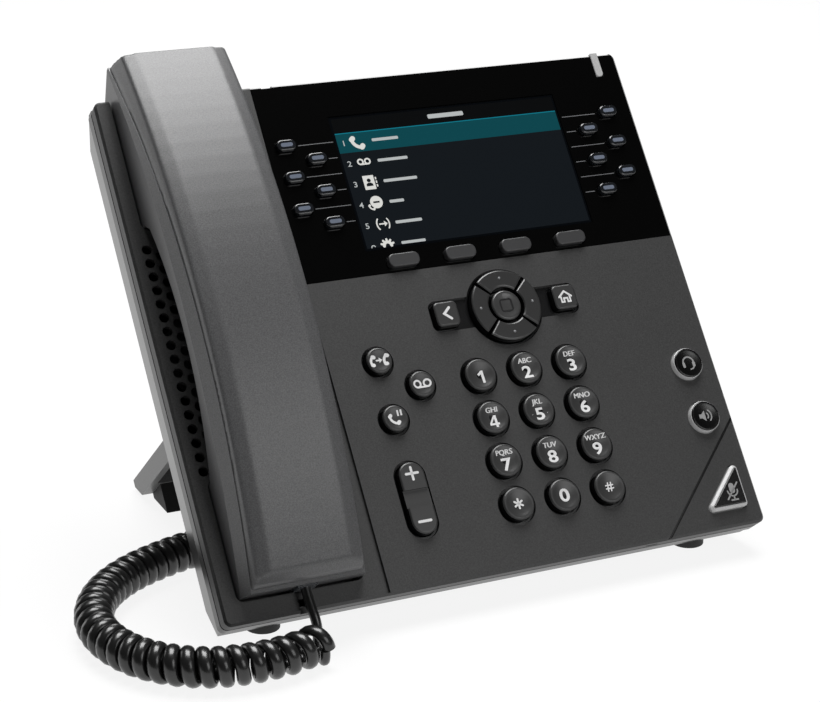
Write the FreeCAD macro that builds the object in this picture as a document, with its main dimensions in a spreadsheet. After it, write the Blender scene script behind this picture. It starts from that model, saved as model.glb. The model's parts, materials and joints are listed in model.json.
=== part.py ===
"""Desk IP phone: an assembly of separate pieces, modelled in the frame of its sloping face.

Face frame: x to the right, y up the slope from the lower edge of the face, z outward from the face.
Every piece built in it gets one common Placement, which tilts the face and stands the phone on its
feet. All lengths are in millimetres and angles in degrees.
"""
import FreeCAD, Part
import math
import os
import re

import Sketcher
from FreeCAD import Placement, Rotation, Vector

SIZES = (
    # housing
    ("tilt_angle", 50.0), ("front_depth", 5.2), ("shell_wall", 2.2), ("edge_chamfer", 0.9),
    ("corner_radius", 2.6), ("seat_gap", 0.3), ("rim_depth", 10.0), ("rear_depth", 32.0),
    ("rear_inset", 0.5), ("rear_draft", 4.5), ("heel_inset", 1.0), ("heel_depth", 17.0),
    ("cut_margin", 1.0), ("rim_step", 3.0), ("parting_height", 0.8), ("parting_depth", 0.6),
    # feet and stand
    ("foot_height", 3.3), ("foot_radius", 6.3), ("foot_inset", 21.5), ("foot_margin", 0.6),
    ("stand_inset", 19.0), ("stand_y", 91.0), ("stand_plate", 3.0), ("stand_flange", 8.5),
    ("stand_lip", 3.0), ("stand_foot_inset", 11.5), ("stand_foot_width", 14.0),
    ("stand_foot_length", 12.0), ("stand_web_length", 8.0), ("tab_width", 20.0),
    ("tab_length", 8.0), ("tab_pitch", 60.0), ("desk_clearance", 1.6),
    ("cable_window_width", 70.0), ("cable_window_length", 34.0), ("cable_window_start", 22.0),
    ("cable_window_corner", 4.0),
    # cradle and handset
    ("cradle_margin", 6.1), ("recess_width", 48.2), ("slit_margin", 6.9), ("ear_length", 52.4),
    ("ear_depth", 8.5), ("mouth_start", 7.5), ("mouth_end", 52.0), ("mouth_depth", 7.0),
    ("recess_corner", 3.0), ("handset_shift", 2.25), ("handset_rise", 30.5), ("handset_bow", 324.0),
    ("handset_sweep_angle", 42.0), ("cradle_gap", 0.8), ("ridge_inset", 3.3), ("flat_inset", 5.25),
    ("ridge_drop", 1.3), ("side_drop", 10.8), ("bar_depth", 46.0), ("parting_radius", 275.0),
    ("parting_gap", 0.2), ("end_gap", 0.5), ("handset_overhang", 11.1), ("low_parting", 8.0),
    ("high_parting", 4.5), ("end_slant", 0.69), ("trim_height", 60.0), ("arch_radius", 115.0),
    ("arch_low_step", 2.5), ("arch_low_z", 3.0), ("arch_high_step", 2.0), ("arch_high_z", 6.0),
    ("block_gap", 1.2), ("mouth_shoulder_z", 0.6), ("ear_shoulder_z", 1.5), ("end_foot", 1.0),
    ("end_bevel_length", 3.5), ("end_bevel_height", 2.2), ("ear_overhang", 2.0),
    ("handset_wall", 2.0), ("outer_hollow_depth", 15.5), ("socket_width", 8.2),
    ("socket_height", 7.2), ("socket_depth", 14.0), ("plug_gap", 0.3), ("hook_width", 9.0),
    ("hook_height", 5.0), ("hook_margin", 28.4), ("hook_travel", 3.5), ("hook_flange", 1.5),
    # grille and loudspeaker
    ("hole_radius", 1.85), ("hole_pitch_x", 9.4), ("hole_pitch_y", 5.3), ("hole_margin", 6.0),
    ("hole_first_y", 55.7), ("speaker_radius", 20.0), ("speaker_margin", 23.5),
    ("speaker_y", 98.0), ("speaker_depth", 14.0), ("magnet_radius", 10.0),
    # display
    ("slit_width", 1.8), ("slit_depth", 1.2), ("panel_margin", 5.4), ("panel_left_margin", 3.8),
    ("panel_right_margin", 8.0), ("panel_top_margin", 13.55), ("panel_thickness", 2.4),
    ("panel_frame", 5.0), ("panel_gap", 0.15), ("lcd_margin", 2.35), ("lcd_drop", 0.6),
    ("lcd_shift", 0.5), ("lcd_bezel_x", 3.0), ("lcd_bezel_y", 1.25), ("lcd_width", 103.0),
    ("lcd_height", 58.5), ("lcd_depth", 3.6), ("light_margin", 9.3), ("light_width", 3.0),
    ("light_length", 9.9), ("light_depth", 5.0), ("top_notch_margin", 4.5),
    ("top_notch_width", 4.5), ("top_notch_depth", 1.2),
    # keys
    ("key_gap", 0.4), ("well_depth", 1.1), ("well_margin", 1.3), ("key_root", 3.6),
    ("flange_width", 1.0), ("flange_top", 2.6), ("block_flange", 0.8), ("flange_low", 2.8),
    ("key_rise", 2.5), ("key_round", 0.8), ("dial_shift", 0.43), ("dial_radius", 6.2),
    ("dial_pitch_x", 19.09), ("dial_pitch_y", 16.87), ("dial_low_y", 23.54),
    ("function_radius", 5.0), ("call_margin", 20.1), ("call_rise", 11.35), ("call_pitch", 11.3),
    ("messages_step", 14.0), ("audio_margin", 12.6), ("headset_y", 65.8), ("audio_pitch", 21.9),
    ("skirt_step", 0.6), ("skirt_ledge", 0.2), ("skirt_bevel", 0.9), ("nav_step", 25.45),
    ("nav_radius", 14.2), ("nav_inner", 7.3), ("nav_rise", 2.6), ("nav_gap_angle", 5.0),
    ("select_radius", 6.0), ("side_key_x", 25.0), ("side_key_size", 9.7),
    ("side_key_corner", 2.0), ("bridge_width", 62.0), ("bridge_height", 12.4),
    ("bridge_corner", 3.0), ("volume_y", 32.3), ("volume_width", 10.1), ("volume_length", 27.2),
    ("volume_dip", 6.6), ("volume_dip_depth", 0.9), ("pivot_radius", 1.1),
    ("pivot_length", 1.4), ("mute_margin", 5.9), ("mute_corner_y", 6.9), ("mute_leg", 18.6),
    ("mute_corner", 1.6), ("line_width", 7.6), ("line_height", 4.3),
    ("line_gap", 6.9), ("line_stagger", 10.8), ("line_shift", 1.125),
    ("line_step", 6.55), ("flush_rise", 2.2), ("flush_round", 0.5), ("soft_width", 12.6),
    ("soft_height", 5.2), ("soft_corner", 2.2), ("soft_margin", 4.2), ("soft_pitch", 23.67),
    ("groove_margin", 42.5), ("groove_width", 0.7), ("groove_depth", 0.6),
    ("cord_notch_width", 4.8), ("cord_notch_depth", 2.4), ("microphone_margin", 48.7),
    ("microphone_width", 5.0), ("microphone_height", 1.0), ("microphone_depth", 3.4),
    # board and sockets
    ("board_edge", 5.0), ("board_gap", 0.8), ("board_low_y", 12.0), ("board_length", 100.0),
    ("board_top", 11.6), ("board_thickness", 1.6), ("socket_standoff", 0.2), ("jack_y", 58.0),
    ("network_size", 14.0), ("network_opening", 11.8), ("small_jack_size", 10.0),
    ("small_jack_opening", 7.8), ("jack_opening_depth", 12.5), ("network_x", 22.0),
    ("network_pitch", 20.0), ("headset_jack_x", -28.0), ("cord_jack_x", -50.0),
    ("window_gap", 0.3), ("post_radius", 4.4), ("post_inset", 6.0), ("screw_radius", 2.8),
    ("screw_depth", 4.0),
    # cord
    ("wire_diameter", 4.0), ("coil_diameter", 14.4), ("plug_length", 11.5), ("plug_tail", 6.0),
    ("plug_proud", 0.6), ("plug_z", 3.6), ("lead_start_length", 6.0), ("tail_end_length", 12.5),
)
# What follows from the sizes: each name stands for its formula wherever a formula uses it.
DERIVED = {
    "lane_width": "cradle_margin + recess_width + slit_margin",
    "line_corner": "0.47 * line_height",
    "line_inner_x": "lcd_width / 2 + line_gap",
    "line_outer_x": "line_inner_x + line_stagger",
    "face_width": "lane_width + panel_left_margin + line_width + 2 * line_outer_x + panel_right_margin",
    "rim_x": "face_width / 2",
    "column_x": "rim_x - panel_right_margin - line_width / 2 - line_outer_x",
    "slit_x": "lane_width - rim_x",
    "cradle_x": "cradle_margin + recess_width / 2 - rim_x",
    "call_x": "slit_x + call_margin",
    "audio_x": "rim_x - audio_margin",
    "mute_corner_x": "rim_x - mute_margin",
    "skirt_rise": "key_rise - skirt_step",
    "skirt_radius": "function_radius + skirt_ledge + skirt_bevel",
    "lit_round": "0.8 * skirt_step",
    "light_x": "rim_x - light_margin",
    "groove_offset": "rim_x - groove_margin",
    "foot_x": "rim_x - foot_inset",
    "stand_width": "face_width - 2 * stand_inset",
    "stand_foot_x": "stand_width / 2 - stand_foot_inset",
    "window_width": "lcd_width - 2 * lcd_bezel_x",
    "window_height": "lcd_height - 2 * lcd_bezel_y",
    "dial_top_y": "dial_low_y + 3 * dial_pitch_y",
    "call_top_y": "dial_top_y + call_rise",
    "nav_y": "dial_top_y + nav_step",
    "panel_bottom": "nav_y + nav_radius + panel_margin",
    "soft_y": "panel_bottom + soft_margin",
    "module_y": "soft_y + soft_height / 2 + lcd_margin + lcd_height / 2",
    "lcd_y": "module_y - lcd_drop",
    "line_low_y": "lcd_y + line_shift - 2.5 * line_step",
    "face_height": "module_y + lcd_height / 2 + panel_top_margin",
    "ear_start": "face_height - ear_length",
    "hook_y": "face_height - hook_margin",
    "arch_low_y": "mouth_end + arch_low_step",
    "arch_high_y": "ear_start - arch_high_step",
    "handset_low_y": "mouth_start + end_gap",
    "handset_high_y": "face_height + handset_overhang",
    "handset_mid_y": "(handset_low_y + handset_high_y) / 2 + handset_shift",
    "handset_width": "recess_width - 2 * cradle_gap",
    "handset_ridge": "handset_width - 2 * ridge_inset",
    "handset_flat": "handset_ridge - 2 * flat_inset",
    "plug_start_y": "handset_low_y - plug_proud",
    "rear_half": "rim_x - rear_inset",
    "board_left": "cord_jack_x - small_jack_size / 2 - board_edge",
    "board_right": "rear_half - rear_draft - shell_wall - board_gap",
    "board_high_y": "board_low_y + board_length",
    "pivot_z": "-shell_wall - key_gap / 2 - pivot_radius",
}
VALUES = dict(SIZES)
# Two places this near, in millimetres, count as one.
SAME_PLACE = 1e-4

TILT = "(tilt_angle * 1 deg)"
REST_HEIGHT = f"(foot_height + heel_depth * cos({TILT}) - heel_inset * sin({TILT}))"
HEEL_RUN = f"((rear_depth - heel_depth) * cos({TILT}) / sin({TILT}))"
STAND_REACH = f"(((stand_y - stand_lip) * sin({TILT}) + {REST_HEIGHT} - desk_clearance) / cos({TILT}))"
STAND_BEVEL = f"((stand_flange - stand_lip) * sin({TILT}) / cos({TILT}))"

# Hand-chosen cord routes in the row frame, before the assembly is centred on its origin.
LEAD_ROUTE = ((-80.0, -6.8, 12.2), (-82.6, -11.2, 9.2), (-87.07, -14.51, 7.25), (-93.5, -15.4, 7.3))
COIL_ROUTE = ((-93.5, -15.4, 7.3), (-106.5, -17.2, 7.5), (-119.5, -14.8, 7.5), (-131.2, -8.2, 7.6),
              (-140.5, 2.6, 7.5), (-145.8, 16.0, 7.6), (-146.6, 30.5, 7.5), (-142.2, 44.4, 7.6),
              (-133.5, 56.4, 7.5), (-121.5, 65.4, 7.6), (-108.0, 71.6, 7.5), (-94.0, 75.8, 7.6),
              (-79.6, 77.2, 7.5), (-65.0, 76.4, 7.6), (-50.6, 75.2, 7.5), (-36.2, 75.8, 7.6),
              (-22.2, 78.8, 7.5), (-9.4, 84.2, 7.6))
TAIL_ROUTE = ((-9.4, 84.2, 7.6), (1.2, 88.67, 7.68), (7.4, 99.0, 5.0), (7.8, 110.0, 3.6),
              (1.8, 119.2, 2.8), (-8.4, 123.8, 2.6), (-19.4, 122.8, 2.6), (-29.4, 117.8, 2.8),
              (-38.0, 110.6, 3.6), (-45.2, 102.6, 6.0), (-50.0, 93.8, 10.6), (-51.8, 85.0, 17.8))

doc = FreeCAD.newDocument("desk_ip_phone")
sheet = doc.addObject("Spreadsheet::Sheet", "Sizes")
for line_number, (alias, value) in enumerate(SIZES, 1):
    sheet.set(f"A{line_number}", alias)
    sheet.set(f"B{line_number}", str(value))
    sheet.setAlias(f"B{line_number}", alias)
doc.recompute()


def sized(text):
    """Turn a formula in plain size names into an expression on the sheet's cells."""
    def spelled(word):
        if word[0] in DERIVED:
            return f"({sized(DERIVED[word[0]])})"
        return f"Sizes.{word[0]}" if word[0] in VALUES else word[0]

    return re.sub(r"[a-z]\w*", spelled, str(text))


def value_of(text):
    """Work out a formula in size names as a plain number."""
    result = sheet.evalExpression(sized(text))
    return float(getattr(result, "Value", result))


# ---------------------------------------------------------------- sketches

def origin_plane(body, role):
    """Find one of a body's own origin planes by its role."""
    return next(item for item in body.Origin.OriginFeatures if item.Role == role)


def new_body(label):
    """Start one named piece."""
    body = doc.addObject("PartDesign::Body", label)
    body.Label = label
    return body


def new_sketch(body, name, level="0", role="XY_Plane"):
    """Attach a sketch to a body's origin plane, raised to a level along the plane's normal."""
    sketch = body.newObject("Sketcher::SketchObject", f"{body.Label}_{name}")
    sketch.AttachmentSupport = (origin_plane(body, role), [""])
    sketch.MapMode = "FlatFace"
    sketch.setExpression("AttachmentOffset.Base.z", sized(level))
    return sketch


def bind(sketch, constraint, formula):
    """Add a dimensional constraint and bind it to a formula in size names."""
    index = sketch.addConstraint(constraint)
    sketch.setExpression(f"Constraints[{index}]", sized(formula))


def place_point(sketch, geometry, vertex, across, up):
    """Fix a vertex by two formulas."""
    bind(sketch, Sketcher.Constraint("DistanceX", -1, 1, geometry, vertex, value_of(across)), across)
    bind(sketch, Sketcher.Constraint("DistanceY", -1, 1, geometry, vertex, value_of(up)), up)


def add_circle(sketch, across, up, radius):
    """Add a fully bound circle."""
    centre = Vector(value_of(across), value_of(up), 0)
    index = sketch.addGeometry(Part.Circle(centre, Vector(0, 0, 1), value_of(radius)), False)
    bind(sketch, Sketcher.Constraint("Radius", index, value_of(radius)), radius)
    place_point(sketch, index, 3, across, up)


def add_outline(sketch, points, arcs=None):
    """Add a closed outline through bound points; arcs maps a side's number to (radius, bulge sign)."""
    arcs = arcs or {}
    corners = [Vector(value_of(across), value_of(up), 0) for across, up in points]
    sides = []
    for number, start in enumerate(corners):
        end = corners[(number + 1) % len(corners)]
        if number in arcs:
            radius, bulge = arcs[number]
            sides.append((sketch.addGeometry(arc_between(start, end, value_of(radius), bulge), False), radius))
        else:
            sides.append((sketch.addGeometry(Part.LineSegment(start, end), False), None))
    for number, (index, radius) in enumerate(sides):
        following = sides[(number + 1) % len(sides)][0]
        here, there = end_vertices(sketch, index, following, corners[(number + 1) % len(corners)])
        sketch.addConstraint(Sketcher.Constraint("Coincident", index, here, following, there))
        if radius is not None:
            bind(sketch, Sketcher.Constraint("Radius", index, value_of(radius)), radius)
    for number, (across, up) in enumerate(points):
        index = sides[number][0]
        vertex = 1 if sketch.getPoint(index, 1).distanceToPoint(corners[number]) < 1e-6 else 2
        place_point(sketch, index, vertex, across, up)


def arc_between(start, end, radius, bulge):
    """An arc from start to end; bulge +1 bows it to the left of the way from start to end."""
    chord = end - start
    middle = (start + end) * 0.5
    left = Vector(-chord.y, chord.x, 0).normalize()
    half = chord.Length / 2
    centre = middle - left * (bulge * math.sqrt(radius * radius - half * half))
    top = centre + left * (bulge * radius)
    return Part.Arc(start, top, end)


def end_vertices(sketch, first, second, corner):
    """Which vertex of each of two sides lies at their common corner."""
    picked = []
    for index in (first, second):
        picked.append(1 if sketch.getPoint(index, 1).distanceToPoint(corner) < 1e-6 else 2)
    return picked


def add_box(sketch, left, right, low, high):
    """Add a bound rectangle from its four sides."""
    add_outline(sketch, ((left, low), (right, low), (right, high), (left, high)))


def add_rounded(sketch, across, up, width, height, radius):
    """Add a bound rectangle with rounded corners about a centre."""
    half_w, half_h = f"(({width}) / 2)", f"(({height}) / 2)"
    r = value_of(radius)
    x, y = value_of(across), value_of(up)
    w, h = value_of(half_w), value_of(half_h)
    arcs = []
    for sign_x, sign_y, turn in ((1, 1, 0), (-1, 1, 90), (-1, -1, 180), (1, -1, 270)):
        centre = Vector(x + sign_x * (w - r), y + sign_y * (h - r), 0)
        circle = Part.Circle(centre, Vector(0, 0, 1), r)
        arc = Part.ArcOfCircle(circle, math.radians(turn), math.radians(turn + 90))
        index = sketch.addGeometry(arc, False)
        bind(sketch, Sketcher.Constraint("Radius", index, r), radius)
        way_x, way_y = ("+" if sign_x > 0 else "-"), ("+" if sign_y > 0 else "-")
        place_point(sketch, index, 3, f"({across}) {way_x} ({half_w} - ({radius}))",
                    f"({up}) {way_y} ({half_h} - ({radius}))")
        arcs.append(index)
    for number, index in enumerate(arcs):
        following = arcs[(number + 1) % 4]
        line = Part.LineSegment(sketch.getPoint(index, 2), sketch.getPoint(following, 1))
        side = sketch.addGeometry(line, False)
        sketch.addConstraint(Sketcher.Constraint("Tangent", index, 2, side, 1))
        sketch.addConstraint(Sketcher.Constraint("Tangent", side, 2, following, 1))


# ---------------------------------------------------------------- features

def pad(body, sketch, length, downward=False, both_ways=False):
    """Extrude a sketch, outward from the face unless downward."""
    feature = body.newObject("PartDesign::Pad", f"{sketch.Name}_pad")
    feature.Profile = sketch
    feature.SideType = "Symmetric" if both_ways else "One side"
    feature.Reversed = downward
    feature.setExpression("Length", sized(length))
    return feature


def pocket(body, sketch, length, outward=False, both_ways=False):
    """Cut a sketch's outline, inward from the face unless outward."""
    feature = body.newObject("PartDesign::Pocket", f"{sketch.Name}_cut")
    feature.Profile = sketch
    feature.SideType = "Symmetric" if both_ways else "One side"
    feature.Reversed = outward
    feature.setExpression("Length", sized(length))
    return feature


def revolve(body, sketch, angle="360", kind="Revolution", axis="V_Axis", both_ways=False):
    """Turn a sketch about one of its axes."""
    feature = body.newObject(f"PartDesign::{kind}", f"{sketch.Name}_turn")
    feature.Profile = sketch
    feature.ReferenceAxis = (sketch, [axis])
    feature.Midplane = both_ways
    feature.setExpression("Angle", sized(angle))
    return feature


def edges_where(feature, test):
    """Name the edges of a recomputed feature that a test accepts."""
    return [f"Edge{number}" for number, edge in enumerate(feature.Shape.Edges, 1) if test(edge)]


def dress(body, kind, feature, test, size):
    """Fillet or chamfer the edges that a test accepts."""
    doc.recompute()
    names = edges_where(feature, test)
    if not names:
        raise RuntimeError(f"{body.Label}: no edge to {kind}")
    result = body.newObject(f"PartDesign::{kind}", f"{feature.Name}_{kind.lower()}")
    result.Base = (feature, names)
    result.setExpression("Radius" if kind == "Fillet" else "Size", sized(size))
    return result


def at_level(level):
    """Test for edges that lie in the plane at a level."""
    height = value_of(level)
    same = lambda place: abs(place - height) < SAME_PLACE
    return lambda edge: same(edge.BoundBox.ZMin) and same(edge.BoundBox.ZMax)


# ---------------------------------------------------------------- key layout

DIAL_NAMES = (("1", "2", "3"), ("4", "5", "6"), ("7", "8", "9"), ("star", "0", "hash"))
DIAL_KEYS = [(f"dial_key_{name}", f"column_x + dial_shift + {column - 1} * dial_pitch_x",
              f"dial_top_y - {row} * dial_pitch_y")
             for row, names in enumerate(DIAL_NAMES) for column, name in enumerate(names)]
FUNCTION_KEYS = [("transfer_key", "call_x", "call_top_y"),
                 ("messages_key", "call_x + messages_step", "call_top_y - call_pitch"),
                 ("hold_key", "call_x", "call_top_y - 2 * call_pitch")]
AUDIO_KEYS = [("headset_key", "audio_x", "headset_y"), ("speaker_key", "audio_x", "headset_y - audio_pitch")]
SIDE_KEYS = [("back_key", "column_x - side_key_x", "nav_y"), ("home_key", "column_x + side_key_x", "nav_y")]
SOFT_KEYS = [(f"soft_key_{number}", f"column_x + {number - 2.5} * soft_pitch", "soft_y")
             for number in (1, 2, 3, 4)]
LINE_KEYS = []
for side, way in (("left", "-"), ("right", "+")):
    for row in range(6):
        reach = "line_outer_x" if row % 2 == 0 else "line_inner_x"
        LINE_KEYS.append((f"line_key_{side}_{row + 1}", f"column_x {way} {reach}",
                          f"line_low_y + {5 - row} * line_step"))
NAV_KEYS = (("nav_right_key", 0), ("nav_up_key", 90), ("nav_left_key", 180), ("nav_down_key", 270))


def add_triangle(sketch, grow):
    """Add the mute key's rounded right-angled triangle, grown outward by a formula."""
    leg = f"(mute_leg + ({grow}) * (2 + sqrt(2)))"
    x, y, radius = f"(mute_corner_x + ({grow}))", f"(mute_corner_y - ({grow}))", f"(mute_corner + ({grow}))"
    straight, slanted = f"{radius} * (1 + sqrt(2))", f"{radius} * (1 + sqrt(2)) / sqrt(2)"
    points = ((x, f"{y} + {radius}"), (x, f"{y} + {leg} - {straight}"),
              (f"{x} - {slanted}", f"{y} + {leg} - {slanted}"),
              (f"{x} - {leg} + {slanted}", f"{y} + {slanted}"),
              (f"{x} - {leg} + {straight}", y), (f"{x} - {radius}", y))
    add_outline(sketch, points, {1: (radius, -1), 3: (radius, -1), 5: (radius, -1)})


def round_key(label, across, up, radius, skirt=None):
    """A round key cap with a retaining flange and, on lit keys, a bevelled translucent skirt."""
    body = new_body(label)
    if skirt:
        ring = new_sketch(body, "skirt", "-key_root")
        add_circle(ring, across, up, skirt)
        ring_pad = pad(body, ring, "key_root + skirt_rise")
        dress(body, "Chamfer", ring_pad, at_level("skirt_rise"), "skirt_bevel")
    cap = new_sketch(body, "cap", "-key_root")
    add_circle(cap, across, up, radius)
    top = pad(body, cap, "key_root + key_rise")
    dress(body, "Fillet", top, at_level("key_rise"), "lit_round" if skirt else "key_round")
    flange = new_sketch(body, "flange", "-key_root")
    add_circle(flange, across, up, f"{skirt or radius} + flange_width")
    pad(body, flange, "key_root - flange_top")
    return body


def block_key(label, across, up, width, height, corner, rise, edge):
    """A key cap with a rounded rectangular outline and a retaining flange."""
    body = new_body(label)
    cap = new_sketch(body, "cap", "-key_root")
    add_rounded(cap, across, up, width, height, corner)
    top = pad(body, cap, f"key_root + {rise}")
    dress(body, "Fillet", top, at_level(rise), edge)
    flange = new_sketch(body, "flange", "-key_root")
    add_rounded(flange, across, up, f"{width} + 2 * block_flange", f"{height} + 2 * block_flange",
                f"{corner} + block_flange")
    pad(body, flange, "key_root - flange_low")
    return body


def navigation_key(label):
    """One quarter of the navigation ring, about the ring's own centre."""
    body = new_body(label)
    section = new_sketch(body, "section", "0", "XZ_Plane")
    add_box(section, "nav_inner", "nav_radius", "-key_root", "nav_rise")
    quarter = revolve(body, section, "90 - nav_gap_angle", both_ways=True)
    dress(body, "Fillet", quarter, at_level("nav_rise"), "key_round")
    return body


def mute_key():
    """The triangular mute key with its bevelled translucent skirt."""
    body = new_body("mute_key")
    skirt = new_sketch(body, "skirt", "-key_root")
    add_triangle(skirt, "0")
    skirt_pad = pad(body, skirt, "key_root + skirt_rise")
    dress(body, "Chamfer", skirt_pad, at_level("skirt_rise"), "skirt_bevel")
    cap = new_sketch(body, "cap", "-key_root")
    add_triangle(cap, "-skirt_ledge - skirt_bevel")
    cap_pad = pad(body, cap, "key_root + key_rise")
    dress(body, "Fillet", cap_pad, at_level("key_rise"), "lit_round")
    return body


def volume_rocker():
    """The volume rocker with its dished middle and the pivot pins that it rocks on."""
    body = new_body("volume_rocker")
    cap = new_sketch(body, "cap", "-key_root")
    add_rounded(cap, "call_x", "volume_y", "volume_width", "volume_length", "0.499 * volume_width")
    top = pad(body, cap, "key_root + key_rise")
    dress(body, "Fillet", top, at_level("key_rise"), "key_round")
    dip = new_sketch(body, "dip", "key_rise")
    add_box(dip, "call_x - volume_width", "call_x + volume_width", "volume_y - volume_dip / 2",
            "volume_y + volume_dip / 2")
    pocket(body, dip, "volume_dip_depth")
    pivot = new_sketch(body, "pivot", "call_x", "YZ_Plane")
    add_circle(pivot, "volume_y", "pivot_z", "pivot_radius")
    pad(body, pivot, "volume_width + 2 * pivot_length", both_ways=True)
    return body


# ---------------------------------------------------------------- housings

def front_housing():
    """Front shell: rim, cradle recesses, display bed, key wells, grille."""
    body = new_body("front_housing")
    outline = new_sketch(body, "outline")
    add_rounded(outline, "0", "face_height / 2", "face_width", "face_height", "corner_radius")
    slab = pad(body, outline, "front_depth", downward=True)
    dress(body, "Chamfer", slab, at_level("0"), "edge_chamfer")
    hollow = new_sketch(body, "hollow", "-front_depth")
    add_box(hollow, "shell_wall - rim_x", "rim_x - shell_wall", "shell_wall", "face_height - shell_wall")
    pocket(body, hollow, "front_depth - shell_wall", outward=True)
    tub_reach = "(recess_width / 2 + shell_wall)"
    tubs = (("ear", "ear_start - shell_wall", "face_height", "ear_depth"),
            ("mouth", "mouth_start - shell_wall", "mouth_end + shell_wall", "mouth_depth"))
    for name, low, high, depth in tubs:
        tub = new_sketch(body, f"{name}_tub", f"-{depth} - shell_wall")
        add_box(tub, f"cradle_x - {tub_reach}", f"cradle_x + {tub_reach}", low, high)
        pad(body, tub, depth)
    frame = new_sketch(body, "frame", "-front_depth")
    add_box(frame, "slit_x - shell_wall", "rim_x", "panel_bottom - shell_wall", "face_height")
    pad(body, frame, "front_depth - shell_wall")
    recesses = (("ear", "ear_start", "face_height + 4 * cut_margin", "ear_depth"),
                ("mouth", "mouth_start", "mouth_end", "mouth_depth"))
    for name, low, high, depth in recesses:
        recess = new_sketch(body, f"{name}_recess")
        add_rounded(recess, "cradle_x", f"({low} + {high}) / 2", "recess_width", f"{high} - {low}",
                    "recess_corner")
        pocket(body, recess, depth)
    bed = new_sketch(body, "panel_bed")
    add_box(bed, "slit_x", "rim_x + cut_margin", "panel_bottom", "face_height + cut_margin")
    pocket(body, bed, "panel_thickness")
    window = new_sketch(body, "panel_window")
    key_reach = "line_outer_x + line_width / 2 + block_flange + key_gap"
    add_box(window, f"column_x - ({key_reach})", f"column_x + {key_reach}",
            "soft_y - soft_height / 2 - block_flange - key_gap", "face_height - panel_frame")
    pocket(body, window, "front_depth + cut_margin")
    light_notch(body, "face_height - shell_wall - panel_gap", "front_depth + cut_margin")
    slit = new_sketch(body, "slit")
    add_box(slit, "slit_x - slit_width / 2", "slit_x + slit_width / 2", "edge_chamfer", "panel_bottom")
    pocket(body, slit, "slit_depth")
    notch = new_sketch(body, "cord_notch")
    add_box(notch, "cradle_x - cord_notch_width / 2", "cradle_x + cord_notch_width / 2", "-cut_margin",
            "mouth_start + cut_margin")
    pocket(body, notch, "cord_notch_depth")
    groove = new_sketch(body, "groove")
    over, under = "rim_x + cut_margin", "-cut_margin"
    add_outline(groove, ((over, f"{over} - groove_offset - groove_width"),
                         (over, f"{over} - groove_offset + groove_width"),
                         ("groove_offset - cut_margin - groove_width", under),
                         ("groove_offset - cut_margin + groove_width", under)))
    pocket(body, groove, "groove_depth")
    microphone = new_sketch(body, "microphone_slot", "0", "XZ_Plane")
    add_box(microphone, "rim_x - microphone_margin - microphone_width / 2",
            "rim_x - microphone_margin + microphone_width / 2", "-microphone_depth - microphone_height / 2",
            "-microphone_depth + microphone_height / 2")
    pocket(body, microphone, "2 * (shell_wall + cut_margin)", both_ways=True)
    key_openings(body)
    grille(body)
    hook = new_sketch(body, "hook_hole")
    add_box(hook, "cradle_x - hook_width / 2 - key_gap", "cradle_x + hook_width / 2 + key_gap",
            "hook_y - hook_height / 2 - key_gap", "hook_y + hook_height / 2 + key_gap")
    pocket(body, hook, "ear_depth + shell_wall + cut_margin")
    return body


def light_notch(body, low, depth):
    """Cut the message light's notch in a piece's top edge."""
    notch = new_sketch(body, "light_notch")
    add_box(notch, "light_x - light_width / 2 - panel_gap", "light_x + light_width / 2 + panel_gap", low,
            "face_height + cut_margin")
    pocket(body, notch, depth)


def key_openings(body):
    """Wells round the keys and the holes that the keys slide in."""
    through = "shell_wall + cut_margin"
    wells = new_sketch(body, "round_wells")
    holes = new_sketch(body, "round_holes")
    rounds = [(x, y, "dial_radius") for _, x, y in DIAL_KEYS]
    rounds += [(x, y, "function_radius") for _, x, y in FUNCTION_KEYS]
    for across, up, radius in rounds:
        add_circle(wells, across, up, f"{radius} + well_margin")
        add_circle(holes, across, up, f"{radius} + key_gap")
    for _, across, up in AUDIO_KEYS:
        add_circle(holes, across, up, "skirt_radius + key_gap")
    pocket(body, wells, "well_depth")
    pocket(body, holes, through)
    bridge = new_sketch(body, "nav_bridge")
    add_rounded(bridge, "column_x", "nav_y", "bridge_width", "bridge_height", "bridge_corner")
    pocket(body, bridge, "well_depth")
    nav_well = new_sketch(body, "nav_well")
    add_circle(nav_well, "column_x", "nav_y", "nav_radius + well_margin")
    pocket(body, nav_well, "well_depth")
    nav_hole = new_sketch(body, "nav_hole")
    add_circle(nav_hole, "column_x", "nav_y", "nav_radius + key_gap")
    for _, across, up in SIDE_KEYS:
        add_rounded(nav_hole, across, up, "side_key_size + 2 * key_gap", "side_key_size + 2 * key_gap",
                    "side_key_corner + key_gap")
    pocket(body, nav_hole, through)
    for name, margin, depth in (("well", "well_margin", "well_depth"), ("hole", "key_gap", through)):
        volume = new_sketch(body, f"volume_{name}")
        add_rounded(volume, "call_x", "volume_y", f"volume_width + 2 * {margin}",
                    f"volume_length + 2 * {margin}", f"0.499 * (volume_width + 2 * {margin})")
        pocket(body, volume, depth)
    mute_hole = new_sketch(body, "mute_hole")
    add_triangle(mute_hole, "key_gap")
    pocket(body, mute_hole, through)


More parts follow.
